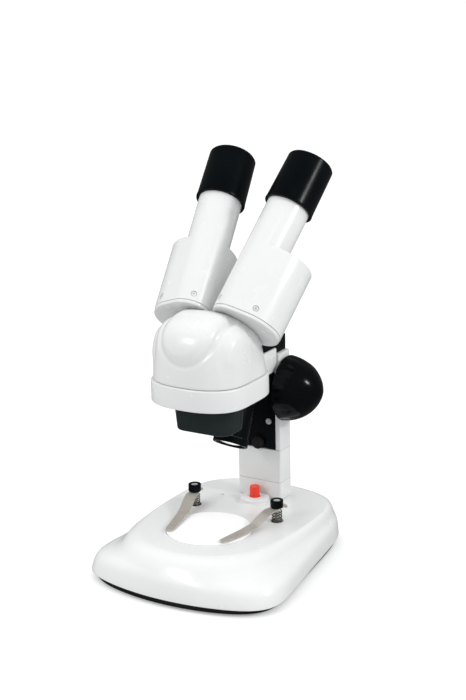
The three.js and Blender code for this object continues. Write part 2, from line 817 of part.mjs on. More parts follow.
for (const [side, sx] of sides) {
  const screw = add(
    head,
    `carriage_screw_${side}`,
    turned(
      [
        [0, -1.0],
        [1.2, -1.0],
        [1.2, 0.6],
        [2.3, 0.6],
        [2.3, 1.5],
        [1.7, 2.0],
        [0, 2.1],
      ],
      12,
    ).rotateX(Math.PI / 2),
    mats.steel(),
  );
  screw.position.set(sx * 8.5, COL_FRONT + 0.6, 91.5);
}
const bumper = add(
  head,
  "carriage_bumper",
  turned(
    [
      [0, -1.6],
      [1.4, -1.6],
      [1.4, 0.6],
      [4.3, 0.6],
      [4.6, 1.4],
      [4.4, 3.4],
      [3.4, 4.8],
      [0, 5.3],
    ],
    16,
  ).rotateX(Math.PI / 2),
  mats.rubber(),
);
bumper.position.set(0, COL_FRONT + 0.3, 74.4);

// ---------------------------------------------------------------- head: ring and dome
// Outline of the head at one height: s scales it about its middle, ins moves it inwards.
const headLoop = (z, s = 1, ins = 0, n = 3.9, count = 32, pinch = 0) => {
  const yc = (HEAD_FRONT + HEAD_REAR) / 2;
  const hy = (HEAD_REAR - HEAD_FRONT) / 2;
  return spread(
    unitOutline(n, 12).map(([c, v]) => {
      let y = (hy * s - ins) * v;
      if (y < 0) y += HEAD_BOW * c * c * s * -v;
      return [(HEAD_HW * s - ins) * c * (1 - pinch * Math.max(0, v)), yc + y, z];
    }),
    count,
    20,
  );
};
const HEAD_SCREW_Y = HEAD_REAR - 8.5;
const LENS_X = 9.0;
const LENS_Y = STAGE_Y + 3.0;
add(
  head,
  "head_ring",
  cut(
    join(
      loft([
        headLoop(RING_BOTTOM, 1, 1.0),
        headLoop(RING_BOTTOM + 1.0, 1, 0),
        headLoop(RING_TOP - 0.8, 1, 0),
        headLoop(RING_TOP, 1, 0.9),
      ]),
      // rear boss under the arm
      box(-16.4, HEAD_REAR - 1.5, RING_BOTTOM + 3.4, 16.4, COL_FRONT - 0.7, RING_TOP),
      box(-16.4, HEAD_REAR + 0.4, RING_TOP - 1, 16.4, COL_FRONT - 0.7, BOSS_Z),
    ),
    cut(
      loft([headLoop(RING_BOTTOM + 2.4, 1, 3, 3.9, 20), headLoop(RING_TOP + 1, 1, 3, 3.9, 20)]),
      rod(0, HEAD_SCREW_Y, 121, 151, 4.4, 14),
    ),
    rod(LENS_X, LENS_Y, 121, 141, 8.2, 18),
    rod(-LENS_X, LENS_Y, 121, 141, 8.2, 18),
    rod(0, HEAD_SCREW_Y, 132, 151, 1.8, 12),
  ),
  mats.white(),
);

// The eyepiece tube frame on one side: local Z runs up the tube, local Y back and down, the origin
// is the middle of the top of the eyepiece.
const tubeFrame = (sx) => {
  const splay = THREE.MathUtils.degToRad(SPLAY);
  const tilt = THREE.MathUtils.degToRad(TILT);
  const t = new THREE.Vector3(
    sx * Math.sin(splay),
    Math.sin(tilt) * Math.cos(splay),
    Math.cos(tilt) * Math.cos(splay),
  );
  const a = new THREE.Vector3(0, 1, 0).cross(t).normalize();
  const b = t.clone().cross(a);
  return new THREE.Matrix4()
    .makeBasis(a, b, t)
    .setPosition(sx * EYE_TOP[0], EYE_TOP[1], EYE_TOP[2]);
};
const inFrame = (g, sx) => g.applyMatrix4(tubeFrame(sx));
const drumX = (sx) => sx * DRUM_OFF[0];
const DRUM_Y = DRUM_OFF[1];

const domeLevels = [0, 0.3, 0.52, 0.68, 0.8, 0.88, 0.94, 0.985];
const domeScale = (h) => (1 - h ** 4.6) ** (1 / 2.8);
const domeBottom = RING_TOP + 0.3;
const domeSkin = (ins, top, count) =>
  loft(
    domeLevels.map((h) =>
      headLoop(
        domeBottom + (top - domeBottom) * h,
        domeScale(h),
        (1.5 + ins) * domeScale(h),
        3.9 - 1.3 * h,
        count,
        0.25 * h,
      ),
    ),
  );
// Everything above a plane square to one of the tubes.
const above = (depth, sx) => inFrame(box(-90, -90, -depth, 90, 90, 60), sx);
const domeHollow = cut(
  join(
    domeSkin(2.6, DOME_TOP - 2.8, 16),
    loft([headLoop(domeBottom - 2, 1, 4.1, 3.9, 16), headLoop(domeBottom + 1, 1, 4.1, 3.9, 16)]),
  ),
  above(COVER_BOTTOM + 3.2, 1),
  above(COVER_BOTTOM + 3.2, -1),
);
const pivotRod = (sx, r, d0, d1, seg) =>
  inFrame(rod(sx * PIVOT_OFF[0], PIVOT_OFF[1], -d1, -d0, r, seg), sx);
add(
  head,
  "head_dome",
  cut(
    join(
      cut(
        domeSkin(0, DOME_TOP, 32),
        above(COVER_BOTTOM + 0.3, 1),
        above(COVER_BOTTOM + 0.3, -1),
        domeHollow,
      ),
      pivotRod(1, 7.0, DRUM_BOTTOM + 0.6, COVER_BOTTOM + 3.0, 18),
      pivotRod(-1, 7.0, DRUM_BOTTOM + 0.6, COVER_BOTTOM + 3.0, 18),
    ),
    pivotRod(1, 5.4, DRUM_BOTTOM - 4, COVER_BOTTOM + 12, 14),
    pivotRod(-1, 5.4, DRUM_BOTTOM - 4, COVER_BOTTOM + 12, 14),
    box(-11.4, HEAD_REAR - 20, domeBottom - 3, 11.4, HEAD_REAR + 4, ARM_TOP - 1.8),
  ),
  mats.white(),
);
const headScrew = add(
  head,
  "head_screw",
  turned(
    [
      [0, 133.6],
      [1.5, 134.2],
      [1.5, ARM_TOP - 1.9],
      [3.3, ARM_TOP - 1.9],
      [3.3, ARM_TOP - 0.6],
      [2.4, ARM_TOP + 0.1],
      [0, ARM_TOP + 0.2],
    ],
    12,
  ),
  mats.steel(),
);
headScrew.position.set(0, HEAD_SCREW_Y, 0);

// ---------------------------------------------------------------- objective housing and lamp
const housingLoop = (z, hw, ins) => {
  const y0 = STAGE_Y - 10.0 + ins;
  const y1 = STAGE_Y + 17.5 - ins;
  return roundRect(-hw + ins, y0, hw - ins, y1, 9 - ins)
    .getPoints(4)
    .slice(0, -1)
    .filter((p, i, l) => i === 0 || p.distanceTo(l[i - 1]) > 1e-3)
    .map((p) => [p.x, p.y, z]);
};
add(
  head,
  "objective_housing",
  cut(
    loft([
      housingLoop(HOUSING_BOTTOM, 21.6, 1.0),
      housingLoop(HOUSING_BOTTOM + 1.0, 21.6, 0),
      housingLoop(RING_BOTTOM - 0.3, 24.0, 0),
    ]),
    loft([housingLoop(HOUSING_BOTTOM + 2.4, 21.6, 2.2), housingLoop(RING_BOTTOM + 1, 24.0, 2.2)]),
    rod(LENS_X, LENS_Y, 91, 111, 7.4, 20),
    rod(-LENS_X, LENS_Y, 91, 111, 7.4, 20),
  ),
  mats.blackSatin(),
);
for (const [side, sx] of sides) {
  const lens = add(
    head,
    `objective_lens_${side}`,
    turned(
      [
        [0, 0.3],
        [3.6, 0.5],
        [7.0, 1.2],
        [7.0, 2.4],
        [3.6, 3.1],
        [0, 3.3],
      ],
      16,
    ),
    mats.glass(),
  );
  lens.position.set(sx * LENS_X, LENS_Y, HOUSING_BOTTOM);
}
const lamp = new THREE.Group();
lamp.position.set(...LAMP_C);
lamp.rotation.x = THREE.MathUtils.degToRad(-LAMP_TILT);
head.add(lamp);
add(
  lamp,
  "lamp_body",
  turned(
    [
      [LAMP_R - 2.4, 5.2],
      [LAMP_R - 0.6, 5.2],
      [LAMP_R - 0.9, 12],
      [10.4, 30],
      [9.4, 34.6],
      [7.0, 36],
      [0, 36],
      [0, 33.8],
      [6.6, 33.8],
      [7.9, 29],
      [LAMP_R - 2.6, 12],
      [LAMP_R - 2.4, 5.2],
    ],
    20,
  ),
  mats.blackSatin(),
);
add(
  lamp,
  "lamp_bezel",
  turned(
    [
      [LAMP_R - 2.2, 0.5],
      [LAMP_R - 1.6, 0],
      [LAMP_R - 0.4, 0],
      [LAMP_R, 0.5],
      [LAMP_R, 4.4],
      [LAMP_R - 0.5, 4.9],
      [LAMP_R - 2.2, 4.9],
      [LAMP_R - 2.2, 0.5],
    ],
    24,
  ),
  mats.blackSatin(),
);
add(
  lamp,
  "lamp_lens",
  turned(
    [
      [0, 0.2],
      [5.0, 0.6],
      [8.4, 1.6],
      [LAMP_R - 2.5, 2.6],
      [LAMP_R - 2.5, 4.0],
      [0, 4.0],
    ],
    18,
  ),
  mats.glass(),
);

// ---------------------------------------------------------------- prism drums and eyepieces
// Convex outline around the tube seat and the drum, moved inwards by ins.
const drumOutline = (sx, ins, n = 32) => {
  const pts = [];
  for (let i = 0; i < n; i++) {
    const a = (2 * Math.PI * i) / n;
    pts.push([(TUBE_R - ins) * Math.cos(a), (TUBE_R - ins) * Math.sin(a)]);
    pts.push([
      drumX(sx) + (DRUM_R - ins) * Math.cos(a),
      DRUM_Y + (DRUM_R - ins) * Math.sin(a),
    ]);
  }
  pts.sort((p, q) => p[0] - q[0] || p[1] - q[1]);
  const cross = (o, p, q) =>
    (p[0] - o[0]) * (q[1] - o[1]) - (p[1] - o[1]) * (q[0] - o[0]);
  const half = (list) => {
    const h = [];
    for (const p of list) {
      while (h.length > 1 && cross(h[h.length - 2], h[h.length - 1], p) <= 1e-6) h.pop();
      h.push(p);
    }
    h.pop();
    return h;
  };
  return [...half(pts), ...half([...pts].reverse())];
};
const drumLoop = (sx, z, ins) => drumOutline(sx, ins).map(([x, y]) => [x, y, z]);
for (const [side, sx] of sides) {
  const ocular = new THREE.Group(); // one side of the binocular head
  tubeFrame(sx).decompose(ocular.position, ocular.quaternion, ocular.scale);
  head.add(ocular);
  add(
    ocular,
    `prism_housing_${side}`,
    cut(
      join(
        loft([
          drumLoop(sx, -DRUM_BOTTOM, 0),
          drumLoop(sx, -DRUM_TOP - 1.2, 0),
          drumLoop(sx, -DRUM_TOP - 0.3, 0.4),
          drumLoop(sx, -DRUM_TOP, 1.2),
        ]),
        turned(
          [
            [0, -DRUM_BOTTOM + 3],
            [TUBE_R, -DRUM_BOTTOM + 3],
            [TUBE_R, -20.6],
            [TUBE_R - 0.6, -20],
            [0, -20],
          ],
          28,
        ),
      ),
      loft([drumLoop(sx, -DRUM_BOTTOM - 1, 2.4), drumLoop(sx, -DRUM_TOP - 3, 2.4)]),
      rod(0, 0, -DRUM_TOP - 10, 0, TUBE_BORE, 24),
    ),
    mats.white(),
  );
  add(
    ocular,
    `prism_cover_${side}`,
    cut(
      loft([
        drumLoop(sx, -COVER_BOTTOM, 0.9),
        drumLoop(sx, -COVER_BOTTOM + 0.5, 0.3),
        drumLoop(sx, -DRUM_BOTTOM - 0.3, 0.3),
      ]),
      rod(sx * PIVOT_OFF[0], PIVOT_OFF[1], -COVER_BOTTOM - 3, -DRUM_BOTTOM + 3, 7.3, 18),
    ),
    mats.white(),
  );
  const block = new THREE.Shape();
  block.moveTo(-12, -13);
  block.lineTo(12, -13);
  block.lineTo(12, 4);
  block.lineTo(3, 13);
  block.lineTo(-3, 13);
  block.lineTo(-12, 4);
  block.closePath();
  const glassBlock = add(
    ocular,
    `porro_prism_${side}`,
    prism(block, -DRUM_BOTTOM + 3, -DRUM_TOP - 12),
    mats.glass(),
  );
  glassBlock.position.set(drumX(sx) * 0.62, DRUM_Y * 0.62, 0);
  glassBlock.rotation.z = Math.atan2(DRUM_Y, drumX(sx)) - Math.PI / 2;
  add(
    ocular,
    `eyepiece_${side}`,
    turned(
      [
        [15.5, -CAP_LEN],
        [CAP_R_BOT - 0.5, -CAP_LEN],
        [CAP_R_BOT, -CAP_LEN + 0.6],
        [CAP_R_TOP, -1.6],
        [CAP_R_TOP - 0.5, -0.5],
        [CAP_R_TOP - 1.6, 0],
        [10.6, 0],
        [9.0, -2.2],
        [9.0, -5.4],
        [11.2, -5.4],
        [11.2, -50],
        [12.6, -50],
        [12.6, -19],
        [15.5, -19],
        [15.5, -CAP_LEN],
      ],
      28,
    ),
    mats.blackSatin(),
  );
  add(
    ocular,
    `eye_lens_${side}`,
    turned(
      [
        [0, -9.6],
        [6, -9.2],
        [10.9, -8.0],
        [10.9, -6.6],
        [7, -6.0],
        [0, -5.7],
      ],
      16,
    ),
    mats.glass(),
  );
}

export default root;
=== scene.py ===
import math

import bmesh
import bpy
import numpy as np
from mathutils import Matrix, Vector


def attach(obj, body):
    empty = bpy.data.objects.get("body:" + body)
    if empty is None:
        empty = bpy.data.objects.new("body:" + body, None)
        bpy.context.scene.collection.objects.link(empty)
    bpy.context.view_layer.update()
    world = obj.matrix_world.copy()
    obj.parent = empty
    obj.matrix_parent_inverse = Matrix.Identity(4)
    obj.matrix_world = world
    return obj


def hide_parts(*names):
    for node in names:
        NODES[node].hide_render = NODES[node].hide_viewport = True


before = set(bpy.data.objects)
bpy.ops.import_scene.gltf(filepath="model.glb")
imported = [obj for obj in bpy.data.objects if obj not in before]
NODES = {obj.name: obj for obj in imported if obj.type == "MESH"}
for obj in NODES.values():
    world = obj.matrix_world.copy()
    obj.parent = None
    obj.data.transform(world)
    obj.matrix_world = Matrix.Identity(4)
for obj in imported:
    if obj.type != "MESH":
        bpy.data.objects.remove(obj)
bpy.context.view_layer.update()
scene = bpy.context.scene
MM = 0.001

# ------------------------------------------------------------------ dimensions (mm), same frame as the CAD
DECK_Z, SHELL_BOTTOM, PLATE_TOP, FOOT_H = 32.0, 4.9, 4.6, 1.2
BASE_FRONT, BASE_REAR, BASE_W0, BASE_TAPER, BASE_BOW = -88.9, 88.9, 69.5, 0.131, 17.0
STAGE_Y, STAGE_R, STAGE_Z, STAGE_T = -24.7, 30.0, 33.0, 4.2
CLIP_X, CLIP_Y, CLIP_STRIP_Z, CLIP_STRIP_T = 34.0, -24.7 + 35.6, 41.2, 0.9
CLIP_KNOB_R, CLIP_KNOB_TOP = 4.6, 47.9
BUTTON_Y, BUTTON_R, BUTTON_TOP, BOSS_R, BOSS_TOP = -24.7 + 63.3, 3.65, 42.9, 10.9, 35.0
COL_HW, COL_FRONT, COL_DEPTH = 17.85, -24.7 + 70.6, 15.6
COL_REAR = COL_FRONT + COL_DEPTH
SEAM_1, SEAM_2, COL_TOP = 45.2, 70.0, 143.0
KNOB_Z, KNOB_Y, KNOB_R, KNOB_IN, KNOB_OUT = 116.2, -24.7 + 78.25, 24.0, 18.7, 47.8
HEAD_HW, HEAD_FRONT, HEAD_REAR, HEAD_BOW = 35.5, -24.7 - 31.6, -24.7 + 39.4, 6.8
RING_BOTTOM, RING_TOP, DOME_TOP = 127.6, 142.9, 187.6
TILT, SPLAY = math.radians(43.0), math.radians(6.4)
EYE_TOP = (31.5, -24.7 + 94.9, 276.5)
CAP_LEN, CAP_R_TOP, CAP_R_BOT, TUBE_R = 38.5, 16.7, 17.6, 15.2
DRUM_R, DRUM_X, DRUM_Y = 23.3, 8.24, 10.2
DRUM_TOP, DRUM_BOTTOM, COVER_BOTTOM = 73.7, 125.0, 127.5
PIVOT_X, PIVOT_Y = -3.5, 16.0
HOUSING_BOTTOM = 105.0
LENS_X, LENS_Y = 9.0, STAGE_Y + 3.0
LAMP_C, LAMP_TILT, LAMP_R = (0.0, STAGE_Y + 30.0, 85.0), math.radians(30.5), 12.6


# ------------------------------------------------------------------ mesh helpers
def pw(v, e):
    return np.sign(v) * np.abs(v) ** e


def new_object(name, verts, faces, smooth=True):
    """Mesh object from points in millimetres."""
    me = bpy.data.meshes.new(name)
    me.from_pydata([tuple(float(c) * MM for c in v) for v in verts], [], faces)
    me.validate()
    ob = bpy.data.objects.new(name, me)
    scene.collection.objects.link(ob)
    bm = bmesh.new()
    bm.from_mesh(me)
    bmesh.ops.remove_doubles(bm, verts=bm.verts, dist=2e-7)
    bmesh.ops.recalc_face_normals(bm, faces=bm.faces)
    bm.to_mesh(me)
    bm.free()
    for p in me.polygons:
        p.use_smooth = smooth
    return ob


def grid_faces(rows, cols, close_rows=False):
    """Quads over rows x cols points, closed round the columns."""
    f = []
    top = rows if close_rows else rows - 1
    for k in range(top):
        for i in range(cols):
            j = (i + 1) % cols
            k2 = (k + 1) % rows
            f.append((k * cols + i, k * cols + j, k2 * cols + j, k2 * cols + i))
    return f


def loft(name, loops, cap_low=True, cap_high=True, close=False):
    """Skin over equal loops; each open end is closed by rings that shrink to a small face."""
    loops = [np.asarray(l, float) for l in loops]
    n = len(loops[0])
    low, high = [], []
    if not close:
        for caps, end in ((low, loops[0]), (high, loops[-1])):
            c = end.mean(0)
            for s in (0.75, 0.5, 0.28, 0.1):
                caps.append(c + (end - c) * s)
    if not cap_low:
        low = []
    if not cap_high:
        high = []
    stack = low[::-1] + loops + high
    verts = np.concatenate(stack)
    faces = grid_faces(len(stack), n, close)
    if low:
        faces.append(tuple(range(n))[::-1])
    if high:
        faces.append(tuple(range(len(verts) - n, len(verts))))
    return new_object(name, verts, faces)


def fillet(points, radius, steps=5, closed=False):
    """Rounds the corners of a profile. A point may carry its own radius as a third number."""
    pts = [(float(p[0]), float(p[1]), float(p[2]) if len(p) > 2 else radius) for p in points]
    out = []
    m = len(pts)
    for i, (x, y, r) in enumerate(pts):
        if (not closed and i in (0, m - 1)) or r <= 0:
            out.append((x, y))
            continue
        a, b = pts[i - 1], pts[(i + 1) % m]
        p = np.array([x, y])
        da, db = np.array(a[:2]) - p, np.array(b[:2]) - p
        la, lb = np.linalg.norm(da), np.linalg.norm(db)
        if la < 1e-6 or lb < 1e-6:
            out.append((x, y))
            continue
        da, db = da / la, db / lb
        cosang = float(np.clip(np.dot(da, db), -1, 1))
        ang = math.acos(cosang)
        if ang > math.radians(174):
            out.append((x, y))
            continue
        t = min(r / math.tan(ang / 2), 0.45 * la, 0.45 * lb)
        p0, p1 = p + da * t, p + db * t
        for s in np.linspace(0, 1, steps + 1):
            q = (1 - s) ** 2 * p0 + 2 * s * (1 - s) * p + s * s * p1
            out.append((float(q[0]), float(q[1])))
    return out


def lathe(name, profile, seg=96, closed=False, wobble=None, uv=False):
    """Body of revolution about Z from (radius, z) points. wobble(angle, r, z) gives a factor on r."""
    verts, faces = [], []
    rows = []
    for r, z in profile:
        if r < 1e-5:
            rows.append([len(verts)])
            verts.append((0, 0, z))
        else:
            row = []
            for i in range(seg):
                a = 2 * math.pi * i / seg
                k = wobble(a, r, z) if wobble else 1.0
                row.append(len(verts))
                verts.append((r * k * math.cos(a), r * k * math.sin(a), z))
            rows.append(row)
    m = len(rows)
    for k in range(m if closed else m - 1):
        a, b = rows[k], rows[(k + 1) % m]
        if len(a) == 1 and len(b) == 1:
            continue
        for i in range(seg):
            j = (i + 1) % seg
            if len(a) == 1:
                faces.append((a[0], b[j], b[i]))
            elif len(b) == 1:
                faces.append((a[i], a[j], b[0]))
            else:
                faces.append((a[i], a[j], b[j], b[i]))
    return new_object(name, verts, faces)


def rounded_box(name, lo, hi, radius, side_radius=None, steps=4, zcap=None):
    """Upright block with rounded upright edges (side_radius) and softened top and bottom edges (radius)."""
    sr = side_radius if side_radius is not None else radius
    x0, y0, z0 = lo
    x1, y1, z1 = hi

    def outline(ins):
        pts = []
        rr = max(sr - ins, 0.05)
        for cx, cy, a0 in (
            (x1 - ins - rr, y1 - ins - rr, 0),
            (x0 + ins + rr, y1 - ins - rr, 90),
            (x0 + ins + rr, y0 + ins + rr, 180),
            (x1 - ins - rr, y0 + ins + rr, 270),
        ):
            for k in range(steps + 1):
                a = math.radians(a0 + 90 * k / steps)
                pts.append((cx + rr * math.cos(a), cy + rr * math.sin(a)))
        return pts

    loops = []
    for k in range(steps + 1):
        a = math.pi / 2 * k / steps
        ins = radius * (1 - math.sin(a))
        z = z0 + radius * (1 - math.cos(a))
        loops.append([(x, y, z) for x, y in outline(ins)])
    for k in range(steps + 1):
        a = math.pi / 2 * (1 - k / steps)
        ins = radius * (1 - math.sin(a))
        z = z1 - radius * (1 - math.cos(a))
        loops.append([(x, y, z) for x, y in outline(ins)])
    return loft(name, loops)


def applied(ob):
    """Bakes the modifiers of ob into its mesh."""
    bpy.context.view_layer.update()
    dg = bpy.context.evaluated_depsgraph_get()
    me = bpy.data.meshes.new_from_object(ob.evaluated_get(dg), depsgraph=dg)
    old = ob.data
    ob.modifiers.clear()
    ob.data = me
    bpy.data.meshes.remove(old)
    return ob


def boolean(ob, others, op="DIFFERENCE"):
    for other in others:
        m = ob.modifiers.new("b", "BOOLEAN")
        m.operation = op
        m.solver = "EXACT"
        m.object = other
    applied(ob)
    for other in others:
        bpy.data.objects.remove(other)
    return ob


def tidy(ob, angle=32.0):
    """Smooth shading with sharp edges kept above the given angle."""
    me = ob.data
    for p in me.polygons:
        p.use_smooth = True
    bm = bmesh.new()
    bm.from_mesh(me)
    lim = math.radians(angle)
    for e in bm.edges:
        if len(e.link_faces) == 2:
            e.smooth = e.calc_face_angle(0) < lim
    bm.to_mesh(me)
    bm.free()
    return ob


def soften(ob, width, angle=32.0, segments=3):
    """Rounds the hard edges of ob by width millimetres."""
    m = ob.modifiers.new("edge", "BEVEL")
    m.width = width * MM
    m.segments = segments
    m.limit_method = "ANGLE"
    m.angle_limit = math.radians(angle)
    m.use_clamp_overlap = True
    m.harden_normals = False
    return ob


def rod(name, x, y, z0, z1, r, seg=48):
    return place(lathe(name, [(0, z0), (r, z0), (r, z1), (0, z1)], seg), x, y, 0)


def block(name, lo, hi):
    x0, y0, z0 = lo
    x1, y1, z1 = hi
    v = [(x, y, z) for z in (z0, z1) for x, y in ((x0, y0), (x1, y0), (x1, y1), (x0, y1))]
    f = [(3, 2, 1, 0), (4, 5, 6, 7), (0, 1, 5, 4), (1, 2, 6, 5), (2, 3, 7, 6), (3, 0, 4, 7)]
    return new_object(name, v, f, smooth=False)


def transform(ob, matrix):
    """Applies a matrix whose offsets are in metres to the mesh."""
    ob.data.transform(matrix)
    return ob


def place(ob, x, y, z):
    return transform(ob, Matrix.Translation((x * MM, y * MM, z * MM)))


def tube_matrix(sx):
    """Frame of one eyepiece tube: Z runs up the tube, Y back and down, origin at the top of the eyepiece."""
    t = Vector((sx * math.sin(SPLAY), math.sin(TILT) * math.cos(SPLAY), math.cos(TILT) * math.cos(SPLAY)))
    a = Vector((0, 1, 0)).cross(t).normalized()
    b = t.cross(a)
    m = Matrix((a, b, t)).transposed().to_4x4()
    m.translation = Vector((sx * EYE_TOP[0], EYE_TOP[1], EYE_TOP[2])) * MM
    return m


def finish_piece(ob, mat, body, replaces=(), angle=32.0, smooth=True):
    if smooth:
        tidy(ob, angle)
    ob.data.materials.clear()
    ob.data.materials.append(mat)
    for p in ob.data.polygons:
        p.material_index = 0
    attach(ob, body)
    if replaces:
        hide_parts(*replaces)
    return ob


# ------------------------------------------------------------------ materials
def nodes_of(name):
    mat = bpy.data.materials.new(name)
    mat.use_nodes = True
    nt = mat.node_tree
    nt.nodes.clear()
    out = nt.nodes.new("ShaderNodeOutputMaterial")
    bsdf = nt.nodes.new("ShaderNodeBsdfPrincipled")
    nt.links.new(bsdf.outputs[0], out.inputs[0])
    return mat, nt, bsdf


def noise_node(nt, scale, detail=3.0, rough=0.5, stretch=None, coord="Object"):
    tc = nt.nodes.new("ShaderNodeTexCoord")
    src = tc.outputs[coord]
    if stretch:
        mp = nt.nodes.new("ShaderNodeMapping")
        mp.inputs["Scale"].default_value = stretch
        nt.links.new(src, mp.inputs["Vector"])
        src = mp.outputs[0]
    n = nt.nodes.new("ShaderNodeTexNoise")
    n.inputs["Scale"].default_value = scale
    n.inputs["Detail"].default_value = detail
    n.inputs["Roughness"].default_value = rough
    nt.links.new(src, n.inputs["Vector"])
    return n.outputs["Fac"]


def ramp(nt, fac, lo, hi, a=0.0, b=1.0):
    m = nt.nodes.new("ShaderNodeMapRange")
    m.inputs["From Min"].default_value = a
    m.inputs["From Max"].default_value = b
    m.inputs["To Min"].default_value = lo
    m.inputs["To Max"].default_value = hi
    nt.links.new(fac, m.inputs["Value"])
    return m.outputs["Result"]


def mix_colour(nt, fac, a, b):
    m = nt.nodes.new("ShaderNodeMix")
    m.data_type = "RGBA"
    m.inputs["A"].default_value = (*a, 1)
    m.inputs["B"].default_value = (*b, 1)
    nt.links.new(fac, m.inputs["Factor"])
    return m.outputs["Result"]


def bump_chain(nt, bsdf, layers):
    """layers: (height socket, strength, distance in metres)."""
    last = None
    for fac, strength, dist in layers:
        b = nt.nodes.new("ShaderNodeBump")
        b.inputs["Strength"].default_value = strength
        b.inputs["Distance"].default_value = dist
        nt.links.new(fac, b.inputs["Height"])
        if last is not None:
            nt.links.new(last, b.inputs["Normal"])
        last = b.outputs[0]
    nt.links.new(last, bsdf.inputs["Normal"])


def plastic(name, colour, colour2, rough=(0.2, 0.3), orange=0.05, grain=0.0, coat=0.0, coat_rough=0.05, sss=0.0, ior=1.5, spec=0.5):
    """Moulded plastic: slow colour drift, uneven gloss, mould waviness and fine grain."""
    mat, nt, bsdf = nodes_of(name)
    drift = noise_node(nt, 24.0, 2.0)
    nt.links.new(mix_colour(nt, ramp(nt, drift, 0, 1, 0.35, 0.65), colour, colour2), bsdf.inputs["Base Color"])
    smudge = noise_node(nt, 75.0, 4.0, 0.6)
    nt.links.new(ramp(nt, smudge, rough[0], rough[1], 0.35, 0.7), bsdf.inputs["Roughness"])
    layers = [(noise_node(nt, 190.0, 1.5), orange, 0.0004)]
    if grain:
        layers.append((noise_node(nt, 2600.0, 2.0), grain, 0.00005))
    bump_chain(nt, bsdf, layers)
    bsdf.inputs["IOR"].default_value = ior
    bsdf.inputs["Specular IOR Level"].default_value = spec
    bsdf.inputs["Coat Weight"].default_value = coat
    bsdf.inputs["Coat Roughness"].default_value = coat_rough
    if sss:
        bsdf.inputs["Subsurface Weight"].default_value = sss
        bsdf.inputs["Subsurface Scale"].default_value = 0.0012
        bsdf.inputs["Subsurface Radius"].default_value = (1.0, 0.9, 0.8)
    return mat


def brushed(name, colour, colour2, rough=(0.22, 0.38), stretch=(1, 1, 1), scale=300.0, strength=0.12, coord="Object", metal=1.0):
    mat, nt, bsdf = nodes_of(name)
    lines = noise_node(nt, scale, 3.0, 0.6, stretch, coord)
    cloud = noise_node(nt, 60.0, 3.0)
    nt.links.new(mix_colour(nt, ramp(nt, cloud, 0, 1, 0.3, 0.7), colour, colour2), bsdf.inputs["Base Color"])
    nt.links.new(ramp(nt, lines, rough[0], rough[1], 0.3, 0.7), bsdf.inputs["Roughness"])
    bsdf.inputs["Metallic"].default_value = metal
    bump_chain(nt, bsdf, [(lines, strength, 0.0001)])
    return mat


def glass(name, tint=(0.93, 0.97, 0.98), rough=0.02, film=True):
    mat, nt, bsdf = nodes_of(name)
    c = noise_node(nt, 40.0, 2.0)
    nt.links.new(mix_colour(nt, c, tint, tuple(v * 0.96 for v in tint)), bsdf.inputs["Base Color"])
    nt.links.new(ramp(nt, noise_node(nt, 120.0, 3.0), rough, rough + 0.03, 0.4, 0.7), bsdf.inputs["Roughness"])
    bsdf.inputs["Transmission Weight"].default_value = 1.0
    bsdf.inputs["IOR"].default_value = 1.5
    if film:
        bsdf.inputs["Coat Weight"].default_value = 0.6
        bsdf.inputs["Coat Tint"].default_value = (0.75, 0.8, 1.0, 1)
    return mat


# Lit and shaded copies of one white plastic: the base and pillar copy is painted lighter to make up for the shade the
# head casts over the deck, and the head copy is painted darker to tone down the strong light falling on it.
WHITE = plastic("white_plastic", (0.820, 0.830, 0.828), (0.808, 0.818, 0.817), (0.24, 0.275), 0.016, 0.0, 0.3, 0.1)
WHITE_HEAD = plastic("white_plastic_head", (0.785, 0.790, 0.790), (0.775, 0.781, 0.782), (0.25, 0.28), 0.014, 0.0, 0.25, 0.12)
PLATED = brushed("plated_screw", (0.86, 0.86, 0.85), (0.76, 0.76, 0.75), (0.2, 0.3), (1, 1, 1), 700.0, 0.06, metal=0.15)
STAGE_WHITE_PAINTED_GLOW = plastic("stage_white_painted_glow", (0.955, 0.955, 0.955), (0.94, 0.94, 0.94), (0.35, 0.45), 0.01, 0.03)
# The stage disc glows faintly (emission 0.06) although it is no lamp: painted light that brightens the shaded deck.
STAGE_WHITE_PAINTED_GLOW.node_tree.nodes["Principled BSDF"].inputs["Emission Color"].default_value = (1, 1, 1, 1)
STAGE_WHITE_PAINTED_GLOW.node_tree.nodes["Principled BSDF"].inputs["Emission Strength"].default_value = 0.06
SATIN = plastic("black_satin", (0.0022, 0.0034, 0.0042), (0.0034, 0.0048, 0.0058), (0.22, 0.30), 0.015, 0.06, spec=0.11)
HOUSING_BLACK = plastic("black_satin_housing", (0.016, 0.022, 0.023), (0.020, 0.027, 0.028), (0.3, 0.38), 0.015, 0.06, spec=0.16)
MATTE = plastic("black_matte", (0.009, 0.009, 0.0098), (0.014, 0.014, 0.015), (0.42, 0.58), 0.02, 0.2, spec=0.14)
GLOSS = plastic("black_gloss", (0.0018, 0.0026, 0.0032), (0.0028, 0.0038, 0.0044), (0.14, 0.18), 0.006, 0.0, spec=0.15)
RUBBER = plastic("black_rubber", (0.010, 0.010, 0.010), (0.016, 0.016, 0.0155), (0.7, 0.9), 0.03, 0.35, spec=0.2)
RED = plastic("red_plastic", (0.93, 0.050, 0.018), (0.86, 0.038, 0.013), (0.22, 0.34), 0.03, 0.02, 0.2, 0.1)
STEEL = brushed("brushed_steel", (0.72, 0.68, 0.61), (0.61, 0.57, 0.51), (0.24, 0.4), (0.05, 1, 1), 900.0, 0.15, "UV", 0.5)
SPRING = brushed("spring_steel", (0.30, 0.28, 0.25), (0.20, 0.185, 0.165), (0.16, 0.3), (1, 1, 1), 500.0, 0.05, metal=0.9)
SCREW = brushed("screw_steel", (0.74, 0.74, 0.73), (0.62, 0.62, 0.61), (0.16, 0.3), (1, 1, 1), 700.0, 0.08, metal=0.45)
BRASS = brushed("brass", (0.68, 0.52, 0.24), (0.58, 0.43, 0.19), (0.22, 0.36), (1, 1, 1), 500.0, 0.1, metal=0.6)
LENS = glass("lens_glass")
PRISM = glass("prism_glass", (0.95, 0.98, 0.97), 0.02, False)


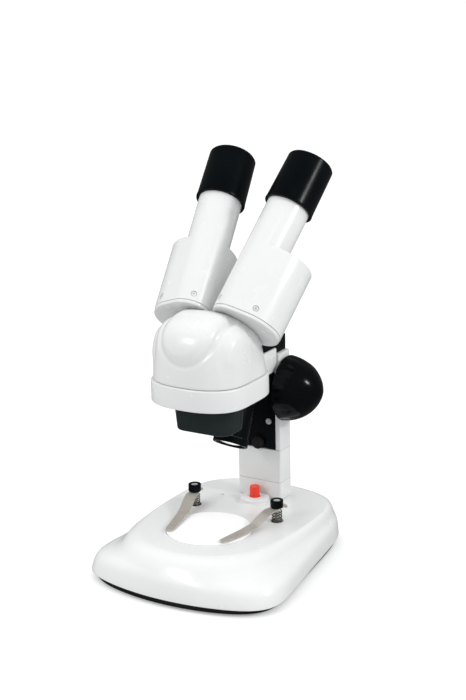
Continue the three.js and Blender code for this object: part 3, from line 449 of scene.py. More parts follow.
def lamp_lens_material():
    mat, nt, bsdf = nodes_of("lamp_lens")
    c = noise_node(nt, 500.0, 3.0)
    nt.links.new(mix_colour(nt, c, (0.9, 0.92, 0.93), (0.8, 0.83, 0.85)), bsdf.inputs["Base Color"])
    nt.links.new(ramp(nt, c, 0.12, 0.24), bsdf.inputs["Roughness"])
    bsdf.inputs["Transmission Weight"].default_value = 0.25
    bsdf.inputs["Emission Color"].default_value = (1, 1, 1, 1)
    bsdf.inputs["Emission Strength"].default_value = 0.35
    bump_chain(nt, bsdf, [(c, 0.08, 0.0001)])
    return mat


LAMP_GLASS = lamp_lens_material()


# ------------------------------------------------------------------ base
def unit_outline(n, q=90):
    """Unit superellipse |c|^n + |v|^n = 1 as c, v arrays, counter-clockwise from its front middle (0, -1)."""
    m = 0.5 ** (1 / n)
    t1 = np.arange(q) / q * m
    t2 = -m + np.arange(2 * q) / q * m

    def other(t):
        return (1 - np.abs(t) ** n) ** (1 / n)

    c = np.concatenate([t1, other(t2), -t2, -other(t2), t1 - m])
    v = np.concatenate([-other(t1), t2, other(t2), -t2, -other(t1 - m)])
    return c, v


def spread(pts, count, corner):
    """count points round a closed outline from its first point, closer together where it turns."""
    nxt = np.roll(pts, -1, 0)
    d = nxt - pts
    ang = np.arctan2(d[:, 1], d[:, 0])
    turn = ang - np.roll(ang, 1)
    turn = np.abs(np.arctan2(np.sin(turn), np.cos(turn)))
    acc = np.concatenate([[0], np.cumsum(np.hypot(d[:, 0], d[:, 1]) + corner * 0.5 * (turn + np.roll(turn, -1)))])
    want = acc[-1] * np.arange(count) / count
    loop = np.vstack([pts, pts[:1]])
    return np.stack([np.interp(want, acc, loop[:, 0]), np.interp(want, acc, loop[:, 1])], 1)


def base_loop(z, dw, front, rear, n, count=288):
    c, v = unit_outline(n)
    y = (front + rear) / 2 + (rear - front) / 2 * v
    s = (y - BASE_FRONT) / (BASE_REAR - BASE_FRONT)
    w = BASE_W0 - BASE_TAPER * (y - STAGE_Y) - dw * (0.92 * (1 - s) ** 2 + 0.08)
    yy = y - np.where(v < 0, 1.0, 0.7) * BASE_BOW * c * c * v
    xy = spread(np.stack([w * c, yy], 1), count, 60.0)
    return np.column_stack([xy, np.full(count, float(z))])


def smooth_rows(levels, per=6):
    """Catmull-Rom through the level rows."""
    L = np.array(levels, float)
    P = np.vstack([2 * L[0] - L[1], L, 2 * L[-1] - L[-2]])
    rows = []
    for i in range(1, len(P) - 2):
        for t in np.arange(per) / per:
            p0, p1, p2, p3 = P[i - 1 : i + 3]
            rows.append(0.5 * (2 * p1 + (p2 - p0) * t + (2 * p0 - 5 * p1 + 4 * p2 - p3) * t**2 + (3 * p1 - p0 - 3 * p2 + p3) * t**3))
    rows.append(L[-1])
    return rows


BF, BR = BASE_FRONT, BASE_REAR
base_levels = [
    (SHELL_BOTTOM, 0.35, BF + 0.3, BR - 0.2, 7.89),
    (SHELL_BOTTOM + 0.5, 0.0, BF, BR, 7.89),
    (9, 0.6, BF + 0.7, BR - 0.3, 7.77),
    (13.5, 2.0, BF + 1.9, BR - 0.9, 7.53),
    (16.6, 4.8, BF + 3.0, BR - 1.5, 7.29),
    (19.2, 11.0, BF + 4.2, BR - 2.1, 7.05),
    (21.3, 18.0, BF + 5.3, BR - 2.8, 6.81),
    (24, 23.0, BF + 6.9, BR - 3.8, 6.57),
    (27, 25.8, BF + 9.2, BR - 5.2, 6.33),
    (29.4, 28.6, BF + 11.8, BR - 7.2, 6.21),
    (31.2, 33.0, BF + 15.5, BR - 10.5, 6.09),
    (DECK_Z - 0.12, 37.0, BF + 18.5, BR - 13.3, 6.03),
    (DECK_Z, 40.0, BF + 20.5, BR - 15.0, 5.98),
]
outer = [base_loop(*r) for r in smooth_rows(base_levels, 5)]
shell = loft("base_shell_skin", outer)
cavity = loft(
    "cavity",
    [
        base_loop(z, dw, f + 2.6, r - 2.6, n, 96) * np.array([0.962, 1, 1])
        for z, dw, f, r, n in (
            (SHELL_BOTTOM - 2, 0.3, BF, BR, 6.4),
            (12.5, 4.0, BF + 1.9, BR - 1.2, 5.9),
            (17.5, 15.0, BF + 4.2, BR - 2.6, 5.5),
            (22, 24.5, BF + 7.4, BR - 4.4, 5.2),
            (25.5, 29.5, BF + 12.0, BR - 7.6, 5.0),
        )
    ],
)
boss = lathe(
    "boss",
    fillet([(0, 28), (BOSS_R + 0.75, 28, 0), (BOSS_R + 0.75, DECK_Z + 0.02, 0), (BOSS_R, DECK_Z + 0.3, 0.5), (BOSS_R - 0.35, BOSS_TOP, 0.6), (0, BOSS_TOP)], 0.5),
    96,
)
place(boss, 0, BUTTON_Y, 0)
boolean(boss, [block("bk", (-30, COL_FRONT - 0.3, 20), (30, COL_REAR + 10, 60))])
boolean(shell, [cavity])
boolean(shell, [boss], "UNION")
cutters = [
    place(lathe("pocket", fillet([(0, STAGE_Z - STAGE_T - 0.3), (STAGE_R + 0.18, STAGE_Z - STAGE_T - 0.3), (STAGE_R + 0.18, DECK_Z - 0.25, 0), (STAGE_R + 0.35, DECK_Z + 0.02, 0), (STAGE_R + 0.35, 60, 0), (0, 60)], 0.2), 160), 0, STAGE_Y, 0),
    rod("h1", CLIP_X, CLIP_Y, 24, 60, 1.75),
    rod("h2", -CLIP_X, CLIP_Y, 24, 60, 1.75),
    rod("h3", 0, BUTTON_Y, 20, 60, BUTTON_R + 0.4, 64),
    rod("h4", 26.7, STAGE_Y + 61.8, 30.4, 60, 1.7, 32),
    rod("h5", -26.7, STAGE_Y + 61.8, 30.4, 60, 1.7, 32),
    rod("h6", 11, (COL_FRONT + COL_REAR) / 2, 20, 60, 2.3, 24),
    rod("h7", -11, (COL_FRONT + COL_REAR) / 2, 20, 60, 2.3, 24),
]
boolean(shell, cutters)
soften(shell, 0.18, 40, 2)
applied(shell)
finish_piece(shell, WHITE, "stand", ["base_shell"], 30)

plate_rows = []
for z, ins in ((FOOT_H, 0.9), (FOOT_H + 0.25, 0.4), (FOOT_H + 0.8, 0.05), (PLATE_TOP - 0.5, 0.0), (PLATE_TOP, 0.3)):
    plate_rows.append(base_loop(z, 2.5, BF + 0.3 + ins, BR - 2.0 - ins, 7.2, 224) * np.array([0.98 - ins / 70, 1, 1]))
plate = loft("base_plate_skin", plate_rows)
boolean(plate, [block("bay", (-30, STAGE_Y - 25, 0), (30, STAGE_Y + 25, 10)), rod("s1", 0, -72, 0, 10, 1.9), rod("s2", 0, 76, 0, 10, 1.9), rod("s3", 0, -72, 0, 3.0, 3.6), rod("s4", 0, 76, 0, 3.0, 3.6)])
finish_piece(plate, MATTE, "stand", ["base_plate"])

disc = lathe("stage_disc", fillet([(0, -STAGE_T), (STAGE_R - 0.1, -STAGE_T), (STAGE_R - 0.1, -0.02), (0, 0)], 0.5, 6), 192)
place(disc, 0, STAGE_Y, STAGE_Z)
finish_piece(disc, STAGE_WHITE_PAINTED_GLOW, "stand", ["stage_plate"])

# ------------------------------------------------------------------ button
btn = lathe(
    "lamp_button_cap",
    fillet([(0, 21.0), (1.6, 21.0), (1.6, 31.6), (BUTTON_R, 31.6), (BUTTON_R, BUTTON_TOP, 0.75), (2.4, BUTTON_TOP - 0.05, 0.3), (1.9, BUTTON_TOP - 0.25, 0.4), (0, BUTTON_TOP - 0.3)], 0.3, 6),
    96,
)
place(btn, 0, BUTTON_Y, 0)
finish_piece(btn, RED, "power_button", ["power_button"])

# ------------------------------------------------------------------ stage clips
tip = np.array([21.3, STAGE_Y - 20.0])
post = np.array([CLIP_X, CLIP_Y])
CLIP_LEN = float(np.linalg.norm(tip - post))
CLIP_DIR = (tip - post) / CLIP_LEN


def strip(sx):
    """Bent spring-steel strip, one side: a flat head, a double bend and a long tongue with a raised tip."""
    path = [(-8.6, CLIP_STRIP_Z), (7.4, CLIP_STRIP_Z), (11.8, 40.2), (24.0, 34.85), (32.0, 34.15), (CLIP_LEN - 4.4, 33.46), (CLIP_LEN - 2.0, 33.42), (CLIP_LEN - 0.2, 34.0)]
    dense = fillet([(p[0], p[1], 9.0) for p in path], 9.0, 8)
    width = np.interp([p[0] for p in dense], [-8.6, -7.6, -5.5, 7, 24, 32, CLIP_LEN - 4, CLIP_LEN - 1.5, CLIP_LEN - 0.2], [2.2, 3.3, 4.15, 4.25, 4.15, 3.8, 3.2, 2.7, 1.7])
    pts = []
    last = -99.0
    s_all = [p[0] for p in dense]
    z_all = [p[1] for p in dense]
    samples = np.unique(np.concatenate([np.linspace(-8.6, -5.2, 10), np.linspace(-5.2, CLIP_LEN - 5, 90), np.linspace(CLIP_LEN - 5, CLIP_LEN - 0.2, 16)]))
    loops = []
    for s in samples:
        z = float(np.interp(s, s_all, z_all))
        w = float(np.interp(s, s_all, width))
        if s < -5.2:
            w = 4.2 * math.sqrt(max(0.06, 1 - ((-5.2 - s) / 3.5) ** 2))
        if s > CLIP_LEN - 2.6:
            w = 2.9 * math.sqrt(max(0.12, 1 - ((s - CLIP_LEN + 2.6) / 2.5) ** 2))
        e = 0.12
        t = CLIP_STRIP_T
        prof = [(-w + e, 0), (w - e, 0), (w, e), (w, t - e), (w - e, t), (-w + e, t), (-w, t - e), (-w, e)]
        loops.append([(s, q, z + h) for q, h in prof])
    ob = loft("strip", loops, cap_low=False, cap_high=False)
    bm = bmesh.new()
    bm.from_mesh(ob.data)
    bmesh.ops.holes_fill(bm, edges=[e for e in bm.edges if e.is_boundary], sides=0)
    bmesh.ops.recalc_face_normals(bm, faces=bm.faces)
    uv = bm.loops.layers.uv.new("UVMap")
    for f in bm.faces:
        for l in f.loops:
            l[uv].uv = (l.vert.co.x * 10, l.vert.co.y * 10)
    bm.to_mesh(ob.data)
    bm.free()
    boolean(ob, [rod("sh", 0, 0, 37, 46, 2.35, 40)])
    d = (sx * CLIP_DIR[0], CLIP_DIR[1])
    ang = math.atan2(d[1], d[0])
    transform(ob, Matrix.Translation((sx * CLIP_X * MM, CLIP_Y * MM, 0)) @ Matrix.Rotation(ang, 4, "Z"))
    return ob


def tube_along(name, pts, r, sides=12, flat_ends=True):
    """Round wire along a list of points, with parallel-transported rings."""
    P = np.asarray(pts, float)
    T = np.gradient(P, axis=0)
    T /= np.linalg.norm(T, axis=1)[:, None]
    n = np.cross(T[0], [0, 0, 1.0])
    n /= np.linalg.norm(n)
    loops = []
    for p, t in zip(P, T):
        n = n - t * np.dot(n, t)
        n /= np.linalg.norm(n)
        b = np.cross(t, n)
        loops.append([p + r * (math.cos(2 * math.pi * i / sides) * n + math.sin(2 * math.pi * i / sides) * b) for i in range(sides)])
    return loft(name, loops)


for side, sx in (("left", -1), ("right", 1)):
    st = strip(sx)
    st.name = f"clip_strip_{side}"
    finish_piece(st, STEEL, f"clip_strip_{side}", [f"stage_clip_{side}"], 28)
    turns, per = 4.4, 40
    z0, z1 = DECK_Z + 0.62, CLIP_STRIP_Z - 0.65
    pts = []
    N = int(turns * per)
    for i in range(N + 1):
        t = i / N
        # the wire ends under the strip's tongue, so the strip's rear edge has room to dip
        a = 2 * math.pi * turns * (t - 1) + math.atan2(CLIP_DIR[1], sx * CLIP_DIR[0])
        # the bottom coil is closed, the others are open
        e = 0.13
        if t < e:
            h = 0.35 * t / e * 0.12
        else:
            h = 0.042 + (t - e) / (1 - e) * 0.958
        pts.append((3.3 * math.cos(a), 3.3 * math.sin(a), z0 + (z1 - z0) * h))
    sp = tube_along("spring", pts, 0.48, 12)
    place(sp, sx * CLIP_X, CLIP_Y, 0)
    sp.name = f"clip_coil_{side}"
    finish_piece(sp, SPRING, f"clip_turn_{side}", [f"clip_spring_{side}"])
    zb = CLIP_STRIP_Z + CLIP_STRIP_T + 0.3
    kn = lathe(
        f"clip_cap_{side}",
        fillet([(1.9, zb), (CLIP_KNOB_R - 0.15, zb, 0.4), (CLIP_KNOB_R, zb + 1.0, 0.3), (CLIP_KNOB_R, CLIP_KNOB_TOP, 0.55), (2.9, CLIP_KNOB_TOP, 0.25), (2.65, CLIP_KNOB_TOP - 1.3, 0.2), (1.9, CLIP_KNOB_TOP - 1.35, 0)], 0.3, 5),
        96,
        closed=True,
    )
    place(kn, sx * CLIP_X, CLIP_Y, 0)
    finish_piece(kn, SATIN, f"clip_turn_{side}", [f"clip_knob_{side}"])
    cap = lathe(f"clip_cap_pin_{side}", fillet([(0, zb + 2.6), (1.8, zb + 2.6), (1.8, CLIP_KNOB_TOP - 1.0), (2.5, CLIP_KNOB_TOP - 1.0), (2.5, CLIP_KNOB_TOP - 0.55, 0.3), (1.6, CLIP_KNOB_TOP - 0.25, 0.3), (0, CLIP_KNOB_TOP - 0.2)], 0.1), 48)
    place(cap, sx * CLIP_X, CLIP_Y, 0)
    boolean(cap, [block("sl", (sx * CLIP_X - 0.35, CLIP_Y - 4, CLIP_KNOB_TOP - 0.6), (sx * CLIP_X + 0.35, CLIP_Y + 4, CLIP_KNOB_TOP + 1))])
    finish_piece(cap, SCREW, f"clip_turn_{side}")
    washer = lathe(f"clip_washer_{side}", fillet([(1.8, DECK_Z + 0.02), (4.6, DECK_Z + 0.02), (4.6, DECK_Z + 0.14), (1.8, DECK_Z + 0.14)], 0.04, 3, True), 64, closed=True)
    place(washer, sx * CLIP_X, CLIP_Y, 0)
    finish_piece(washer, SPRING, "stand")

# ------------------------------------------------------------------ pillar
CY = (COL_FRONT + COL_REAR) / 2
foot = rounded_box("pillar_foot_skin", (-COL_HW, COL_FRONT, DECK_Z + 0.06), (COL_HW, COL_REAR, SEAM_1 - 0.12), 0.28, 1.3, 6)
finish_piece(foot, WHITE, "stand", ["pillar_foot"])
blk = rounded_box("pillar_block_skin", (-COL_HW, COL_FRONT, SEAM_1 + 0.12), (COL_HW, COL_REAR, SEAM_2 - 0.12), 0.28, 1.3, 6)
tongue = block("tg", (-12.5, CY - 0.3, 61), (12.5, COL_REAR - 3.3, 84))
boolean(blk, [tongue], "UNION")
finish_piece(blk, WHITE, "stand", ["pillar_block"])
chan = rounded_box("pillar_channel_skin", (-COL_HW, COL_FRONT, SEAM_2 + 0.12), (COL_HW, COL_REAR, COL_TOP), 0.28, 1.3, 6)
axle = transform(lathe("ax", [(0, -25), (3.5, -25), (3.5, 25), (0, 25)], 48), Matrix.Translation((0, KNOB_Y * MM, KNOB_Z * MM)) @ Matrix.Rotation(math.pi / 2, 4, "Y"))
boolean(chan, [block("ch", (-COL_HW + 3.9, COL_FRONT - 5, 61), (COL_HW - 3.9, COL_REAR - 3.0, 151)), axle])
soften(chan, 0.25, 50, 3)
applied(chan)
finish_piece(chan, WHITE, "stand", ["pillar_channel"])

# ------------------------------------------------------------------ focus knobs
def knob_profile():
    pts = [(2.1, 34.3), (2.1, KNOB_IN + 1.4), (9.0, KNOB_IN + 1.2), (10.0, KNOB_IN, 0.5), (KNOB_R * 0.66, KNOB_IN, 0.8), (KNOB_R * 0.9, KNOB_IN + 0.1, 1.2)]
    x0, ln = 11.2, KNOB_OUT - 11.2
    for x in np.concatenate([np.linspace(20.0, 44, 34), KNOB_OUT - (KNOB_OUT - 44) * np.linspace(0.92, 0.0, 22) ** 1.8]):
        t = (x - x0) / ln
        pts.append((KNOB_R * max(0.0, 1 - t**2.9) ** (1 / 1.4), x, 0))
    pts[-1] = (0, KNOB_OUT, 0)
    return [(0, 34.3)] + fillet(pts, 0.5, 5)


def flutes(a, r, z):
    """Long shallow finger grooves round the inboard half of the knob."""
    if r < KNOB_R * 0.72:
        return 1.0
    step = 2 * math.pi / 12
    off = (a + step / 2) % step - step / 2
    groove = math.exp(-((off / 0.115) ** 2))
    t = min(1.0, max(0.0, (38.5 - z) / 12.0))
    e = min(1.0, max(0.0, (z - KNOB_IN - 0.6) / 3.0))
    return 1 - 0.026 * groove * (t * t * (3 - 2 * t)) * (e * e * (3 - 2 * e))


for side, sx in (("left", -1), ("right", 1)):
    k = lathe(f"focus_knob_skin_{side}", knob_profile(), 192, wobble=flutes)
    transform(k, Matrix.Translation((0, KNOB_Y * MM, KNOB_Z * MM)) @ Matrix.Rotation(sx * math.pi / 2, 4, "Y"))
    finish_piece(k, GLOSS, "focus_drive", [f"focus_knob_{side}"], 40)

# ------------------------------------------------------------------ head ring and dome
def head_loop(z, s=1.0, ins=0.0, n=3.9, count=224, pinch=0.0):
    yc, hy = (HEAD_FRONT + HEAD_REAR) / 2, (HEAD_REAR - HEAD_FRONT) / 2
    c, v = unit_outline(n)
    y = (hy * s - ins) * v
    y = y + np.where(v < 0, HEAD_BOW * c * c * s * -v, 0.0)
    x = (HEAD_HW * s - ins) * c * (1 - pinch * np.maximum(0, v))
    xy = spread(np.stack([x, yc + y], 1), count, 20.0)
    return np.column_stack([xy, np.full(count, float(z))])


rows = []
for k in range(7):
    a = math.pi / 2 * k / 6
    rows.append(head_loop(RING_BOTTOM + 1.1 * (1 - math.cos(a)), 1, 1.1 * (1 - math.sin(a))))
rows.append(head_loop((RING_BOTTOM + RING_TOP) / 2, 1, 0))
for k in range(7):
    a = math.pi / 2 * (1 - k / 6)
    rows.append(head_loop(RING_TOP - 0.9 * (1 - math.cos(a)), 1, 0.9 * (1 - math.sin(a))))
ring = loft("head_ring_skin", rows)
boolean(ring, [loft("rc", [head_loop(RING_BOTTOM + 2.4, 1, 3, 3.9, 80), head_loop(RING_TOP + 2, 1, 3, 3.9, 80)])])
boolean(ring, [rounded_box("ring_boss", (-16.4, HEAD_REAR - 1.5, RING_BOTTOM + 3.4), (16.4, COL_FRONT - 0.7, RING_TOP - 0.02), 0.3, 1.2, 5), rounded_box("ring_boss_top", (-16.38, HEAD_REAR + 0.45, RING_TOP - 4), (16.38, COL_FRONT - 0.75, 147.5), 0.5, 1.2, 5)], "UNION")
boolean(ring, [rod("l1", LENS_X, LENS_Y, 120, 141, 8.2, 48), rod("l2", -LENS_X, LENS_Y, 120, 141, 8.2, 48)])
finish_piece(ring, WHITE_HEAD, "head", ["head_ring"])

DOME_BOTTOM = RING_TOP + 0.25


def smoothstep(a, b, v):
    t = np.clip((v - a) / (b - a), 0, 1)
    return t * t * (3 - 2 * t)


def dome_rows(count=320, levels=110):
    rows = []
    top = DOME_TOP - 0.2
    # softened lower lip
    for k in range(5):
        a = math.pi / 2 * k / 4
        rows.append(head_loop(DOME_BOTTOM + 0.5 * (1 - math.cos(a)), 1, 1.5 + 0.5 * (1 - math.sin(a)), 3.9, count))
    for k in range(1, levels):
        h = math.sin(math.pi / 2 * k / levels) ** 1.0
        sc = (1 - h**4.6) ** (1 / 2.8)
        rows.append(head_loop(DOME_BOTTOM + 0.5 + (top - DOME_BOTTOM - 0.5) * h, sc, 1.5 * sc, 3.9 - 0.9 * h, count, 0.25 * h))
    return np.array(rows)


def sculpt_dome(P):
    """Raised brow on the front of the dome, bounded by a soft crease on each side."""
    n = np.zeros_like(P)
    du = np.roll(P, -1, 1) - np.roll(P, 1, 1)
    dv = np.gradient(P, axis=0)
    n = np.cross(du, dv)
    n /= np.maximum(np.linalg.norm(n, axis=2, keepdims=True), 1e-9)
    x, y, z = P[..., 0], P[..., 1], P[..., 2]
    yc = (HEAD_FRONT + HEAD_REAR) / 2
    front = smoothstep(-15.0, -27.0, y)
    rho = np.sqrt((x / 22.3) ** 2 + (np.maximum(0, 181.0 - z) / 23.5) ** 2)
    lobe = 1 - smoothstep(0.62, 0.98, rho)
    # the crease is a notch under the covers and dies out round the foot of the brow
    low = smoothstep(159.0, 176.0, z)
    groove = np.exp(-(((rho - 1.0) / (0.065 + 0.03 * low)) ** 2)) * (0.3 + 0.7 * low)
    d = front * (2.0 * lobe - 1.9 * groove)
    # a soft ridge down each front corner
    flank = np.exp(-(((np.abs(x) - 30.4) / 2.9) ** 2)) * smoothstep(152.0, 163.0, z) * smoothstep(181, 173, z) * smoothstep(-16.0, -28.0, y)
    d = d + 0.95 * flank
    hollow = np.exp(-(((np.abs(x) - 26.3) / 2.4) ** 2)) * smoothstep(152.0, 163.0, z) * smoothstep(-22.0, -32.0, y) * smoothstep(181, 174, z)
    d = d - 0.5 * hollow
    return P + n * d[..., None]


P = sculpt_dome(dome_rows())
dome = loft("head_dome_skin", list(P))


def roof(depth, sx):
    return transform(block("roof", (-90, -90, -depth), (90, 90, 60)), tube_matrix(sx))


hollow_rows = []
for h in (0, 0.3, 0.52, 0.68, 0.8, 0.88, 0.94, 0.985):
    sc = (1 - h**4.6) ** (1 / 2.8)
    hollow_rows.append(head_loop(DOME_BOTTOM - 1 + (DOME_TOP - 5 - DOME_BOTTOM) * h, sc, 5.0 * sc, 3.9 - 1.3 * h, 64, 0.25 * h))
inside = loft("inside", hollow_rows)
boolean(inside, [roof(COVER_BOTTOM + 3.4, 1), roof(COVER_BOTTOM + 3.4, -1)])
boolean(dome, [roof(COVER_BOTTOM + 0.22, 1), roof(COVER_BOTTOM + 0.22, -1)])
boolean(dome, [inside])
for sx in (1, -1):
    collar = transform(place(lathe("cl", [(0, -COVER_BOTTOM - 2.5), (7.0, -COVER_BOTTOM - 2.5), (7.0, -DRUM_BOTTOM - 0.6), (0, -DRUM_BOTTOM - 0.6)], 64), sx * PIVOT_X, PIVOT_Y, 0), tube_matrix(sx))
    boolean(dome, [collar], "UNION")
bores = [transform(place(lathe("bo", [(0, -COVER_BOTTOM - 12), (5.4, -COVER_BOTTOM - 12), (5.4, -DRUM_BOTTOM + 4), (0, -DRUM_BOTTOM + 4)], 48), sx * PIVOT_X, PIVOT_Y, 0), tube_matrix(sx)) for sx in (1, -1)]
boolean(dome, bores + [block("nt", (-11.4, HEAD_REAR - 20, DOME_BOTTOM - 3), (11.4, HEAD_REAR + 4, 152.4))])
finish_piece(dome, WHITE_HEAD, "head", ["head_dome"], 38)


# ------------------------------------------------------------------ objective housing, lenses, lamp
def housing_loop(z, hw, ins, steps=12):
    y0, y1 = STAGE_Y - 10.0 + ins, STAGE_Y + 17.5 - ins
    r = 9 - ins
    x1 = hw - ins
    pts = []
    for cx, cy, a0 in ((x1 - r, y1 - r, 0), (-x1 + r, y1 - r, 90), (-x1 + r, y0 + r, 180), (x1 - r, y0 + r, 270)):
        for k in range(steps + 1):
            a = math.radians(a0 + 90 * k / steps)
            pts.append((cx + r * math.cos(a), cy + r * math.sin(a), z))
    return pts


rows = []
for k in range(7):
    a = math.pi / 2 * k / 6
    rows.append(housing_loop(HOUSING_BOTTOM + 1.1 * (1 - math.cos(a)), 21.6, 1.1 * (1 - math.sin(a))))
rows.append(housing_loop(RING_BOTTOM - 0.3, 24.0, 0))
obj_h = loft("objective_housing_skin", rows)
hollow = loft("oh", [housing_loop(HOUSING_BOTTOM + 2.4, 21.6, 2.2), housing_loop(RING_BOTTOM + 1, 24.0, 2.2)])
boolean(obj_h, [hollow, rod("o1", LENS_X, LENS_Y, 91, 111, 7.4, 64), rod("o2", -LENS_X, LENS_Y, 91, 111, 7.4, 64)])
soften(obj_h, 0.2, 40, 2)
applied(obj_h)
finish_piece(obj_h, HOUSING_BLACK, "head", ["objective_housing"])
for side, sx in (("left", -1), ("right", 1)):
    ln = lathe(f"objective_glass_{side}", [(0, 0.3), (1.8, 0.36), (3.6, 0.55), (5.4, 0.85), (7.0, 1.25), (7.0, 2.4), (5.4, 2.85), (3.6, 3.1), (1.8, 3.25), (0, 3.3)], 96)
    place(ln, sx * LENS_X, LENS_Y, HOUSING_BOTTOM)
    finish_piece(ln, LENS, "head", [f"objective_lens_{side}"], 50)
LM = Matrix.Translation(tuple(c * MM for c in LAMP_C)) @ Matrix.Rotation(-LAMP_TILT, 4, "X")
lamp_b = lathe(
    "lamp_body_skin",
    fillet([(LAMP_R - 2.4, 5.2, 0), (LAMP_R - 0.6, 5.2, 0.3), (LAMP_R - 0.9, 12, 8), (10.4, 30, 6), (9.4, 34.6, 1.2), (7.0, 36, 0.8), (0, 36, 0), (0, 33.8, 0), (6.6, 33.8), (7.9, 29), (LAMP_R - 2.6, 12), (LAMP_R - 2.4, 5.2, 0)], 0.4, 8),
    96,
)
finish_piece(transform(lamp_b, LM), SATIN, "head", ["lamp_body"])
bez = lathe(
    "lamp_bezel_skin",
    fillet([(LAMP_R - 2.3, 0.9), (LAMP_R - 1.7, 0.0), (LAMP_R - 0.3, 0.0), (LAMP_R, 0.5), (LAMP_R, 4.5), (LAMP_R - 0.45, 5.0), (LAMP_R - 2.3, 5.0)], 0.45, 6, True),
    128,
    closed=True,
)
finish_piece(transform(bez, LM), SATIN, "head", ["lamp_bezel"])
lz = lathe("lamp_glass", [(0, 0.5), (2.5, 0.56), (5.0, 0.8), (7.0, 1.2), (8.8, 1.75), (LAMP_R - 2.5, 2.4), (LAMP_R - 2.5, 4.0), (0, 4.0)], 128)
finish_piece(transform(lz, LM), LAMP_GLASS, "head", ["lamp_lens"], 50)


# ------------------------------------------------------------------ prism housings with their tubes, covers, eyepieces
def hull_outline(sx, ins, n=360):
    a = 2 * np.pi * np.arange(n) / n
    pts = np.concatenate(
        [
            np.stack([(TUBE_R - ins) * np.cos(a), (TUBE_R - ins) * np.sin(a)], 1),
            np.stack([sx * DRUM_X + (DRUM_R - ins) * np.cos(a), DRUM_Y + (DRUM_R - ins) * np.sin(a)], 1),
        ]
    )
    c = np.array([sx * DRUM_X * 0.6, DRUM_Y * 0.6])
    # convex hull of the two circles, resampled evenly in arc length
    pts = pts[np.lexsort((pts[:, 1], pts[:, 0]))]

    def half(list_):
        h = []
        for p in list_:
            while len(h) > 1 and (h[-1][0] - h[-2][0]) * (p[1] - h[-2][1]) - (h[-1][1] - h[-2][1]) * (p[0] - h[-2][0]) <= 1e-9:
                h.pop()
            h.append(p)
        return h[:-1]

    hull = np.array(half(list(pts)) + half(list(pts[::-1])))
    seg = np.linalg.norm(np.roll(hull, -1, 0) - hull, axis=1)
    s = np.concatenate([[0], np.cumsum(seg)])
    m = 200
    want = np.linspace(0, s[-1], m, endpoint=False)
    closed = np.vstack([hull, hull[:1]])
    return np.stack([np.interp(want, s, closed[:, 0]), np.interp(want, s, closed[:, 1])], 1)


def hull_loop(sx, z, ins):
    o = hull_outline(sx, ins)
    return np.column_stack([o, np.full(len(o), float(z))])


